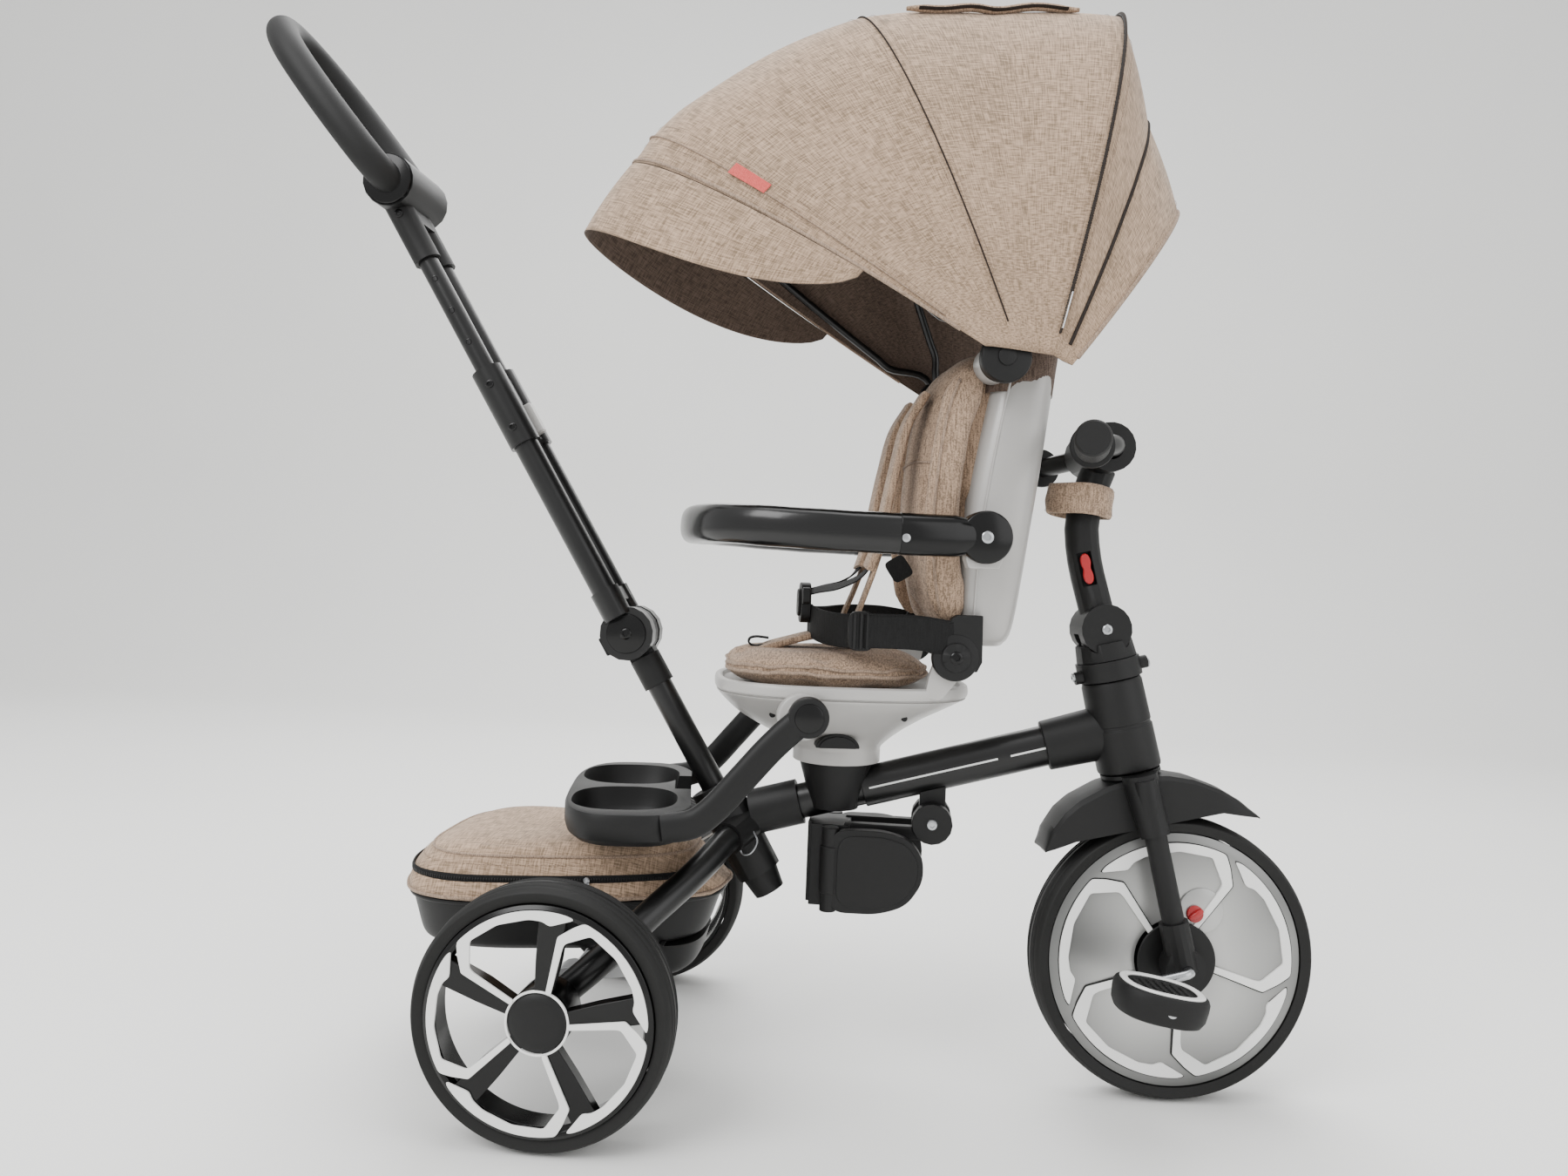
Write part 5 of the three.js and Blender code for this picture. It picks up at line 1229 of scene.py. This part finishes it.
def cloth_shape(fan_steps, across_steps, lift, thickness, edge=None):
    """A sheet with a real thickness, and a cloth map in metres along and across its threads."""
    rows, cols = len(fan_steps), len(across_steps)
    top, bottom, along = [], [], []
    for f in fan_steps:
        for c in across_steps:
            fan = edge(f, c) if edge else f
            top.append(canopy_point(fan, c, lift + sag(fan, c)))
            bottom.append(canopy_point(fan, c, lift - thickness + sag(fan, c)))
    grid = np.array(top).reshape(rows, cols, 3)
    mid = grid[:, cols // 2]
    down = np.concatenate([[0], np.cumsum(np.linalg.norm(np.diff(mid, axis=0), axis=1))])
    wide = np.concatenate([[0], np.cumsum(np.linalg.norm(np.diff(grid[rows // 2], axis=0), axis=1))])
    cloth_map = [(wide[j] / 1000, down[i] / 1000) for i in range(rows) for j in range(cols)] * 2
    faces = []
    n = rows * cols
    for i in range(rows - 1):
        for j in range(cols - 1):
            a, b, c, d = i * cols + j, i * cols + j + 1, (i + 1) * cols + j + 1, (i + 1) * cols + j
            faces += [(a, b, c, d), (n + d, n + c, n + b, n + a)]
    border = list(range(cols)) + [i * cols + cols - 1 for i in range(1, rows)]
    border += [(rows - 1) * cols + j for j in range(cols - 2, -1, -1)] + [i * cols for i in range(rows - 2,
                                                                                                  0, -1)]
    for k, a in enumerate(border):
        b = border[(k + 1) % len(border)]
        faces.append((b, a, n + a, n + b))
    area = np.linalg.norm(np.cross(grid[1:, :-1] - grid[:-1, :-1], grid[:-1, 1:] - grid[:-1, :-1]),
                          axis=2).sum() / 1e6
    return (top + bottom, faces, cloth_map), down[-1] / 1000, wide[-1] / 1000, area


def joined_hoop(fan, inset, feet, radius, name, body, replaces):
    """A wire hoop that follows the cloth inside it, and bends in to its two feet."""
    sweep_of = [canopy_point(fan, c, -inset) for c in np.linspace(8, 172, 60)]
    path = smooth_path([(-130, feet, 762), (-122 + 0.25 * (sweep_of[0][0] + 122), feet * 0.99, 790)]
                       + sweep_of
                       + [(-122 + 0.25 * (sweep_of[-1][0] + 122), -feet * 0.99, 790), (-130, -feet, 762)],
                       120)
    return piece(name, tube(path, radius, 16, up=(0, 1.0, 0)), seat_place, powder_black, body,
                 replaces)


back_fans = list(np.linspace(29.7, 127.6, 100))
around = list(np.linspace(1, 179, 128))
main, cut_length, cut_width, cut_area = cloth_shape(back_fans, around, 0.0, 1.2)


def lined(made, points):
    """A sheet with lining on all faces but those of its outer side, the first half of its points."""
    made.data.materials.append(sheet_lining)
    inside = [0 if all(i < len(points) // 2 for i in f.vertices) else 1 for f in made.data.polygons]
    made.data.polygons.foreach_set("material_index", inside)
    return made


cloth = lined(piece("canopy_cloth", main, seat_place, sheet_linen, None, ["canopy_fabric"],
                    sharp=180),
              main[0])


def folding(made):
    """The piece with its place baked into its points; it rides no body."""
    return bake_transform(made)


folding(cloth)


def visor_edge(fan, across):
    """The visor's fan angle: from its curved free edge at 0 to its seam on the band at 1."""
    u = min(1.0, abs(across - 90) / 70)
    low = 18 - 7.5 * u ** 2
    return 29.5 - (29.5 - (low + (29.5 - low) * fan)) * (1 - u ** 7) ** 0.5


visor, visor_length, visor_width, visor_area = cloth_shape(list(np.linspace(0, 1, 24)),
                                                           list(np.linspace(20.3, 159.7, 110)),
                                                           1.0, 1.6, visor_edge)
visor_piece = lined(piece("canopy_sun_visor", visor, seat_place, sheet_linen, "canopy_front",
                          ["canopy_visor"], sharp=180), visor[0])


def on_cloth(fan_of, across, lift):
    """Points of a seam that lies on the cloth, with the directions that stand off it."""
    path = np.array([canopy_point(fan_of(c), c, lift + sag(fan_of(c), c)) for c in across])
    above = np.array([canopy_point(fan_of(c), c, lift + 5 + sag(fan_of(c), c)) for c in across]) - path
    return path, above / np.linalg.norm(above, axis=1, keepdims=True)


def sewn_line(name, fan_of, start, end, half_x, half_y, material, lift=0.6, count=110):
    path, above = on_cloth(fan_of, np.linspace(start, end, count), lift)
    made = piece(name, outward(swept(path, oval(half_x, half_y, 12, 2.4), up=above[0])), seat_place, material,
                 None, sharp=60)
    return folding(made)


sewn = [sewn_line("canopy_band_upper_seam", lambda c: 34.5 - 1.2 * abs(c - 90) / 70, 8, 172, 0.8, 1.5,
                  piping_cloth),
        sewn_line("canopy_band_lower_piping", lambda c: 30.2, 5, 175, 1.7, 1.7, piping_cloth,
                  0.2),
        sewn_line("canopy_hoop_seam", lambda c: 68.3, 5, 175, 0.7, 1.3, dark_piping),
        sewn_line("canopy_zip_tape", lambda c: 104.0, 4, 176, 1.0, 4.6, dark_piping),
        sewn_line("canopy_rear_panel_piping", lambda c: 112.7, 4, 176, 1.8, 1.8, dark_piping),
        sewn_line("canopy_rear_hem", lambda c: 127.2, 3, 177, 2.0, 2.0, piping_cloth, 0.0)]
sewn_line("canopy_zip_pull", lambda c: 104.0, 4.5, 9.5, 1.1, 3.4, satin_steel, 3.4, 20)
joined_hoop(34, 11, 156, 4.4, "canopy_wire_front", "canopy_front", ["canopy_hoop_front"])
joined_hoop(68, 25, 143.5, 4.4, "canopy_wire_middle", "canopy_mid", ["canopy_hoop_mid"])


def row_of(kind):
    """A node tree that sets small pieces along a line, each a little different, standing on its cloth."""
    tree = bpy.data.node_groups.new("row_of_" + kind, "GeometryNodeTree")
    for label, socket in (("Line", "Geometry"), ("Spacing", "Float"), ("Size", "Vector"), ("Seed", "Int"),
                          ("Finish", "Material")):
        tree.interface.new_socket(name=label, in_out="INPUT", socket_type="NodeSocket" + socket)
    tree.interface.new_socket(name="Row", in_out="OUTPUT", socket_type="NodeSocketGeometry")
    given = shader_node(tree, "NodeGroupInput")
    curve = shader_node(tree, "GeometryNodeMeshToCurve", {"Mesh": given.outputs["Line"]})
    dots = shader_node(tree, "GeometryNodeCurveToPoints", {"Curve": curve.outputs["Curve"],
                                                           "Length": given.outputs["Spacing"]}, mode="LENGTH")
    lift = shader_node(tree, "GeometryNodeInputNamedAttribute", data_type="FLOAT_VECTOR", Name="lift")
    along = shader_node(tree, "FunctionNodeAlignRotationToVector", {"Vector": dots.outputs["Tangent"]},
                        axis="X")
    stood = shader_node(tree, "FunctionNodeAlignRotationToVector", {"Rotation": along.outputs["Rotation"],
                        "Vector": lift.outputs["Attribute"]}, axis="Z", pivot_axis="X")
    if kind == "stitches":
        unit = shader_node(tree, "GeometryNodeMeshUVSphere", Segments=8, Rings=5, Radius=0.5)
    else:
        unit = shader_node(tree, "GeometryNodeMeshCube", Size=(1, 1, 1))
    change = shader_node(tree, "FunctionNodeRandomValue", {"Seed": given.outputs["Seed"]}, data_type="FLOAT")
    change.inputs[2].default_value, change.inputs[3].default_value = 0.9, 1.08
    size = shader_node(tree, "ShaderNodeVectorMath", {"Vector": given.outputs["Size"],
                                                      "Scale": change.outputs[1]},
                       operation="SCALE")
    placed = shader_node(tree, "GeometryNodeInstanceOnPoints", {"Points": dots.outputs["Points"],
                         "Instance": unit.outputs["Mesh"], "Rotation": stood.outputs["Rotation"],
                         "Scale": size.outputs["Vector"]})
    solid = shader_node(tree, "GeometryNodeRealizeInstances", {"Geometry": placed.outputs["Instances"]})
    done = shader_node(tree, "GeometryNodeSetMaterial", {"Geometry": solid.outputs["Geometry"],
                                                         "Material": given.outputs["Finish"]})
    shader_node(tree, "NodeGroupOutput", {"Row": done.outputs["Geometry"]})
    return tree


rows = {kind: row_of(kind) for kind in ("stitches", "zip_teeth")}


def set_along(name, lines, place, kind, spacing, size, material, body):
    """Stitches or zip teeth along lines. Each line is (points, directions that stand off the cloth)."""
    mesh = bpy.data.meshes.new(name)
    points = np.concatenate([np.asarray(p) for p, _ in lines]) @ place[:3, :3].T + place[:3, 3]
    lifts = np.concatenate([np.asarray(n) for _, n in lines]) @ place[:3, :3].T
    edges, base = [], 0
    for p, _ in lines:
        edges += [(base + i, base + i + 1) for i in range(len(p) - 1)]
        base += len(p)
    mesh.from_pydata(points.tolist(), edges, [])
    mesh.attributes.new("lift", "FLOAT_VECTOR", "POINT").data.foreach_set("vector", lifts.ravel())
    made = bpy.data.objects.new(name, mesh)
    bpy.context.scene.collection.objects.link(made)
    row = made.modifiers.new("row", "NODES")
    row.node_group = rows[kind]
    inputs = {s.name: s.identifier for s in rows[kind].interface.items_tree if s.in_out == "INPUT"}
    for label, value in (("Spacing", spacing / 1000), ("Size", [s / 1000 for s in size]), ("Seed", 7),
                         ("Finish", material)):
        row[inputs[label]] = value
    bpy.context.view_layer.update()
    evaluated = made.evaluated_get(bpy.context.evaluated_depsgraph_get())
    plain = bpy.data.meshes.new_from_object(evaluated)
    made.modifiers.clear()
    made.data = plain
    plain.shade_smooth()
    if body:
        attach(made, body)
    return made


across = np.linspace(8, 172, 90)
stitch_lines = [on_cloth(lambda c, f=f: f, across, 0.9) for f in (33.0, 36.2, 66.9, 69.8, 102.2, 105.8,
                                                                  125.6)]
folding(set_along("canopy_stitches", stitch_lines, seat_place, "stitches", 4.2, (3.0, 0.7, 0.5),
                  piping_cloth, None))
teeth_line = on_cloth(lambda c: 104.0, np.linspace(6, 174, 90), 1.7)
folding(set_along("canopy_zip_teeth", [teeth_line], seat_place, "zip_teeth", 2.6, (1.5, 3.6, 1.0),
                  moulded_black,
                  None))

tag_grid = []
for t in np.linspace(0, 1, 14):
    low = np.array(canopy_point(33.3, 40 + 8 * t, 2.2))
    high = np.array(canopy_point(35.6, 40 + 8 * t, 2.0 + sag(35.6, 44)))
    tag_grid.append([low, high])
# A woven label: a soft brick red.
tag_red = woven("red_woven_label", "#d0564f", "#b8443f", 0.8, False)
shape = []
for low, high in tag_grid:
    out = low - np.array([-115, 0, 770])
    out = out / np.linalg.norm(out)
    shape.append([low, high, high + out * 0.9, low + out * 0.9])
folding(piece("canopy_side_tag", outward(lofted(shape)), seat_place, tag_red, None, bevel=0.2))

roll = [np.array(canopy_point(f, 74 + 0.2 * math.sin(f), 4.5 + sag(f, 74) + 1.2 * math.sin(f * 0.7)))
        for f in np.linspace(74, 98, 44)]
flap_roll = outward(swept(np.array(roll), oval(5.5, 4.0, 20, 2.2),
                          scale=[0.5 + 0.5 * min(1, min(i, 43 - i) / 5) for i in range(44)], up=(0, 0, 1)))
made = piece("canopy_window_flap_roll", flap_roll, seat_place, stuffed_linen, None, sharp=180)
folding(made)
under = [p + np.array([0, 5.5, -1.6]) for p in roll[3:-3]]
shadow = outward(swept(np.array(under), oval(3.6, 1.3, 14), up=(0, 0, 1)))
folding(piece("canopy_window_shadow_edge", shadow, seat_place, dark_piping, None, sharp=180))

# Hubs hold the hoops to the backrest.
hubs = []
for side in (-1, 1):
    hubs.append(side_disc(side, 22, 136.4, 148.6, 2.4, -130, 762, 56))
    hubs.append(side_disc(side, 13, 148.6, 151, 1.0, -130, 762))
piece("canopy_mid_hubs", combined(*hubs), seat_place, moulded_black, "canopy_mid")
hubs = [side_disc(side, 25, 150.6, 163, 2.6, -130, 762, 56) for side in (-1, 1)]
hubs += [side_disc(side, 9, 163, 165, 0.8, -130, 762, 40) for side in (-1, 1)]
piece("canopy_front_hubs", combined(*hubs), seat_place, moulded_black, "canopy_front")

# ---- Stem sleeve ----
# A padded band of the beige melange closes round the stem's neck. It has soft folds and a line of stitches
# near each edge.

neck = turned_place(steering[:3, 3] + steering[:3, :3] @ (6, 0, 496), *(steering[:3, :3] @ v * 1000 for v in (
    (math.cos(math.radians(18)), 0, -math.sin(math.radians(18))), (0, 1, 0),
    (math.sin(math.radians(18)), 0, math.cos(math.radians(18))))))
band_rings = []
for z, swell in ((-17, 0.0), (-15, 1.8), (-9, 2.6), (-3, 2.9), (4, 3.0), (10, 2.5), (15, 1.9), (17, 0.2)):
    ring = []
    for i in range(96):
        a = 2 * math.pi * i / 96
        wave = 0.7 * math.sin(5 * a + z * 0.2) + 0.5 * math.sin(9 * a - z * 0.35)
        r = 32.6 + swell + wave * (0.4 + swell / 4)
        ring.append((r * math.cos(a), r * math.sin(a), z + 0.9 * math.sin(3 * a)))
    band_rings.append(ring)
inner_rings = [[(31 * math.cos(2 * math.pi * i / 96), 31 * math.sin(2 * math.pi * i / 96), z)
                for i in range(96)]
               for z in (15.4, -15.4)]
sleeve = lofted(band_rings + inner_rings, caps=False)
last_ring, n = (len(band_rings) + 1) * 96, 96
sleeve[1].extend((last_ring + i, last_ring + (i + 1) % n, (i + 1) % n, i) for i in range(n))
made = piece("stem_sleeve", outward(sleeve), neck, stuffed_linen, "stem", ["stem_strap"],
             subdivide=1,
             sharp=180)
ring_lines = []
for z in (-12.5, 12.5):
    circle = np.array([(35.5 * math.cos(a), 35.5 * math.sin(a), z) for a in np.linspace(0, 2 * math.pi, 70)])
    ring_lines.append((circle, circle / 35.5 * (1, 1, 0)))
set_along("stem_sleeve_stitches", ring_lines, neck, "stitches", 4.0, (2.8, 0.7, 0.5), piping_cloth, "stem")

# ---- Storage basket ----
# A black moulded tub hangs between the rear wheels. A beige cloth lid with a black zip domes over it and
# sags a little between its corners. The cloth laps over the tub's rim in soft folds.

basket_back = -617


def basket_ring(z, back, front, half_width, taper, count=96, squareness=3.2):
    middle, half = basket_back + (back + front) / 2, (front - back) / 2
    return [(middle + u, v * half_width * (1 - taper * u / half), z) for u,
            v in oval(half, 1, count, squareness)]


def basket_rows(table, count):
    return [basket_ring(*row) for row in grown(table, count)]


tub_out = basket_rows([(142, -173, 97, 100, 0.3), (146, -183, 109, 106, 0.3), (152, -189, 117, 110, 0.3),
                       (174, -195, 125, 113, 0.315), (195.5, -200, 133, 116, 0.33)], 20)
tub_in = basket_rows([(195.5, -196.5, 129.5, 112.5, 0.33), (172, -192, 121, 110, 0.31),
                      (155, -186, 113, 107, 0.3),
                      (147, -172, 95, 98, 0.3)], 14)
belly = basket_rows([(106, 24, 94, 59, 0.1), (109, 21, 100, 64, 0.1), (118, 17, 109, 68, 0.1),
                     (143, 14.5, 116, 73, 0.1)], 12)
lip = swept(np.array(basket_ring(193.6, -201, 134, 116.8, 0.33, 120)), oval(2.2, 2.4, 12), closed=True,
            up=(0, 0, 1))
slats = []
for x in basket_back + np.linspace(-150, 80, 9):
    slats.append(outward(swept(line((x, -84, 147.4), (x, 84, 147.4)), oval(2.6, 1.6, 10), up=(0, 0, 1))))
piece("basket_tub_moulded", combined(outward(lofted(tub_out + tub_in)), outward(lofted(belly)), lip, *slats),
      ground,
      moulded_black, "frame", ["basket_tub"], bevel=0.6)

lid_table = [(196.6, -204, 136, 118.6, 0.33), (203, -205, 134, 118, 0.33), (212, -202, 126, 115, 0.33),
             (222, -197, 115, 110.5, 0.32), (236, -185, 102, 102, 0.3), (245, -166, 96, 92, 0.27),
             (250.5, -140, 84, 78, 0.24),
             (252, -105, 55, 56, 0.2), (251, -66, 20, 26, 0.1), (250.6, -32, -14, 8, 0.0)]
lid_rows = basket_rows(lid_table, 46)
lid = []
for k, ring in enumerate(lid_rows):
    low = max(0.0, 1 - k / 16)
    folded = []
    for x, y, z in ring:
        a = math.atan2(y, x - basket_back + 34)
        crease = 1.3 * math.sin(11 * a + 0.4 * k) * low + 0.7 * math.sin(17 * a) * low
        dent = -2.2 * math.exp(-((x - basket_back + 90) / 45) ** 2) if k > 26 else 0.0
        scale = 1 + crease / 130
        folded.append(((x - basket_back + 34) * scale + basket_back - 34, y * scale,
                       z + dent + 0.5 * math.sin(5 * a) * low))
    lid.append(folded)
lid_uv, run = [], 0.0
for k, ring in enumerate(lid):
    run += 0 if k == 0 else float(np.linalg.norm(np.array(ring[0]) - lid[k - 1][0]))
    for x, y, z in ring:
        lid_uv.append((x / 1000, (y + math.copysign(max(0, 250 - z), y if abs(y) > 1 else 1)) / 1000))
hood = lofted(lid, caps=False)
hood[1].append(tuple((len(lid) - 1) * 96 + j for j in range(96)))
cover = piece("basket_lid_cloth", (hood[0], hood[1], lid_uv), ground, sheet_linen, "frame",
              ["basket_cover"], sharp=180, wall=1.4)


def lid_line(row, start, end, lift, count=80):
    """Points of a seam round the lid at one height, with the directions that stand off it."""
    ring = np.array(lid[row])
    middle = ring.mean(axis=0)
    at = np.linspace(start, end, count) * len(ring)
    path = np.stack([np.interp(at, np.arange(len(ring) + 1), np.append(ring[:, k], ring[0, k]))
                     for k in range(3)], 1)
    out = path - middle
    out[:, 2] = 0
    out /= np.linalg.norm(out, axis=1, keepdims=True)
    return path + out * lift, out


zip_path, zip_out = lid_line(13, 0.02, 0.98, 0.9, 130)
zip_band = outward(swept(zip_path, oval(1.1, 4.4, 12, 3.0), up=(0, 0, 1)))
hem_path = lid_line(2, 0.0, 1.0, 0.8, 130)[0]
hem_band = swept(hem_path[:-1], oval(1.8, 1.9, 12), closed=True, up=(0, 0, 1))
piping_path = lid_line(21, 0.0, 1.0, 0.6, 130)[0]
seam_cord = swept(piping_path[:-1], oval(1.5, 1.5, 12), closed=True, up=(0, 0, 1))
trim = [piece("basket_zip_tape", zip_band, ground, nylon_webbing, "frame", sharp=60),
        piece("basket_lid_hem", hem_band, ground, piping_cloth, "frame", sharp=180),
        piece("basket_lid_piping", seam_cord, ground, piping_cloth, "frame", sharp=180)]
trim.append(set_along("basket_zip_teeth", [(zip_path + zip_out * 1.1, zip_out)], ground, "zip_teeth", 2.8,
                      (1.6, 3.4, 1.0),
                      moulded_black, "frame"))
trim.append(set_along("basket_lid_stitches", [lid_line(5, 0.0, 1.0, 0.7), lid_line(18, 0.0, 1.0, 0.7)],
                      ground, "stitches",
                      4.2, (3.0, 0.7, 0.5), piping_cloth, "frame"))
slider_at = zip_path[100] + zip_out[100] * 3
slider = combined(rounded_disc(3.4, -1.2, 1.2, 0.5, tuple(slider_at), 24),
                  outward(swept(line(slider_at, slider_at + np.array([2, 0, -16]), 6),
                                oval(2.2, 0.8, 12, 3.0),
                                scale=[0.6, 1, 1, 1, 1, 0.8], up=(0, 1.0, 0))))
piece("basket_zip_slider", slider, ground, satin_steel, "frame")

# ---- Push pole and handle ----
# The pole is black powder-painted tube. It folds at a nylon knuckle with a push button, splits into twin
# tubes that telescope in a clamped collar, and ends in a soft rubber ring on a nylon yoke.

pole_axis = np.array(hinges["pole_turn"]["axis"], float)
pole_place = turned_place(hinges["pole_turn"]["pos_m"], np.cross((0, 1, 0), pole_axis), (0, 1, 0), pole_axis)
piece("pole_tube", outward(swept(line((0, 0, 20), (0, 0, 227)), oval(14, 14, 48))), pole_place, powder_black,
      "pole",
      ["pole"], bevel=0.8)
carried("pole_joint", moulded_black, 1.2)
for node, material in (("outer_tubes", powder_black), ("inner_tubes", powder_black),
                       ("handle_yoke", moulded_black)):
    carried(node, material, 1.0)
pads = [side_disc(s, 22, 26.5, 28.4, 1.2, 0, 262, 56) for s in (-1, 1)]
piece("pole_knuckle_caps", combined(*pads), pole_place, gloss_abs, "handle_lower")
pins = [hex_bolt((0, s * 28.2, 262), (0, s, 0), 6.5, 2.4) for s in (-1, 1)]
piece("pole_knuckle_screws", combined(*pins), pole_place, gloss_abs, "handle_lower")
carried("pole_button", gloss_abs, 1.4)
carried("telescope_lever", shell_abs, 2.0)
pin_holes = []
for side in (-1, 1):
    for z in (628, 668, 708):
        hole = [(2.0, -1.5), (3.2, -1.5), (3.6, 0.0), (3.2, 0.12), (2.6, 0.12), (2.0, -0.6), (2.0, -1.5)]
        points, faces = lathed([[r, h] for r, h in hole], 28)
        curved = [(x, side * (21.5 + math.sqrt((11.2 + h) ** 2 - x * x)), v + z) for x, h, v in points]
        pin_holes.append(outward((curved, faces)))
piece("telescope_pin_holes", combined(*pin_holes), pole_place, gloss_abs, "handle_upper")
collar_bolts = [hex_bolt((0, s * 38.6, z), (0, s, 0), 4.6, 2.0) for s in (-1, 1) for z in (520, 574)]
piece("collar_screws", combined(*collar_bolts), pole_place, gloss_abs, "handle_lower")
yoke_screws = [hex_bolt((0, s * 36.6, 790), (0, s, 0), 4.6, 1.6) for s in (-1, 1)]
piece("yoke_screws", combined(*yoke_screws), pole_place, gloss_abs, "handle_upper")
half_ring = [(0, 0), (24, 0), (48, 1), (70, 24), (78, 92), (68, 162), (38, 210), (0, 225)]
outline = half_ring + [(-y, up) for y, up in reversed(half_ring[1:-1])]
lean = math.radians(8)
ring_path = smooth_path([(10 - up * math.sin(lean), y, 823 + up * math.cos(lean)) for y, up in outline], 160,
                        closed=True)
# Foamed rubber: matt black with a visible open grain.
foam_grip = grained("foamed_rubber_handle", ("#0d0d0d", "#141414"), 0.58, 1.0, 0.4)
grip_ring = swept(ring_path, oval(17, 17, 40), closed=True, up=(1.0, 0, 0))
piece("handle_ring_foam", grip_ring, pole_place, foam_grip, "handle_ring", ["handle_ring"],
      sharp=180)
slit_path = ring_path[18:142]
inward = np.array([10 - 112 * math.sin(lean), 0, 823 + 112 * math.cos(lean)]) - slit_path
inward /= np.linalg.norm(inward, axis=1, keepdims=True)
slit = outward(swept(slit_path + inward * 16.6, oval(1.0, 0.8, 8), up=(1.0, 0, 0)))
piece("handle_ring_parting_line", slit, pole_place, grip_rubber, "handle_ring", sharp=180)
caps = []
for s in (-1, 1):
    caps += [side_disc(s, 27.4, 48, 51.5, 2.2, 10, 823, 56), side_disc(s, 10, 51.5, 53, 0.8, 10, 823, 40)]
piece("yoke_end_caps", combined(*caps), pole_place, gloss_abs, "handle_upper")

# ---- Floor, light and camera ----
# A pale seamless floor, a broad soft key light from above and in front, and a paler fill, as in a small
# studio.

# Matt paint: an even pale grey-white with a hardly visible drift of tone.
studio_white, tree, surface = finish_of("pale_studio_floor", 0.7, 0.0, "#e9e9e7")
at = shader_node(tree, "ShaderNodeTexCoord").outputs["Object"]
cloud = shader_node(tree, "ShaderNodeTexNoise", {"Vector": at}, Scale=1.5, Detail=2.0)
tree.links.new(tone_between(tree, cloud.outputs["Fac"], "#ececea", "#e6e6e4"), surface.inputs["Base Color"])
floor_mesh = bpy.data.meshes.new("studio_floor")
side_steps = [(-6, 0)] + [(2.6 + 1.2 * math.sin(a), 1.2 - 1.2 * math.cos(a))
                          for a in np.linspace(0, math.pi / 2, 16)] + [(3.8, 6)]
corners = [(x, y, z - 0.0005) for y, z in side_steps for x in (-8, 8)]
floor_mesh.from_pydata(corners, [], [(2 * i, 2 * i + 1, 2 * i + 3, 2 * i + 2)
                                     for i in range(len(side_steps) - 1)])
smooth_by_angle(floor_mesh, 60)
floor_mesh.materials.append(studio_white)
floor = bpy.data.objects.new("studio_floor", floor_mesh)
bpy.context.scene.collection.objects.link(floor)


def aimed(made, place, target):
    made.location = place
    made.rotation_mode = "QUATERNION"
    made.rotation_quaternion = (Vector(target) - Vector(place)).to_track_quat("-Z", "Y")


for label, place, size, power in (("key", (-1.8, -2.4, 3.0), 2.2, 130), ("fill", (2.8, -1.8, 1.6), 2.6, 36),
                                  ("top", (0.1, 0.4, 3.6), 3.0, 90), ("rear_wash", (0.0, 1.9, 2.6), 2.4, 60)):
    lamp = bpy.data.lights.new(label + "_light", "AREA")
    lamp.energy, lamp.size = power, size
    made = bpy.data.objects.new(label + "_light", lamp)
    bpy.context.scene.collection.objects.link(made)
    aimed(made, place, (0.0, 0.0, 0.5))
world = bpy.data.worlds.new("studio")
bpy.context.scene.world = world
world.use_nodes = True
world.node_tree.nodes["Background"].inputs["Color"].default_value = linear("#ffffff")
world.node_tree.nodes["Background"].inputs["Strength"].default_value = 1.0

lens = bpy.data.cameras.new("camera")
lens.sensor_width, lens.lens = 36.0, 26.51332
camera = bpy.data.objects.new("camera", lens)
bpy.context.scene.collection.objects.link(camera)
bpy.context.scene.camera = camera
yaw, pitch, roll = (math.radians(v) for v in (-5.739, -1.344, 2.199))
ahead = np.array([math.sin(yaw) * math.cos(pitch), math.cos(yaw) * math.cos(pitch), math.sin(pitch)])
level = np.array([math.cos(yaw), -math.sin(yaw), 0.0])
above = np.cross(level, ahead)
across_view = level * math.cos(roll) + above * math.sin(roll)
up_view = above * math.cos(roll) - level * math.sin(roll)
turned = np.eye(4)
turned[:3, :3] = np.array([across_view, up_view, -ahead]).T
turned[:3, 3] = np.array([-0.302342 + front_axle[0], -1.270139, 0.556653])
camera.matrix_world = Matrix(turned.tolist())
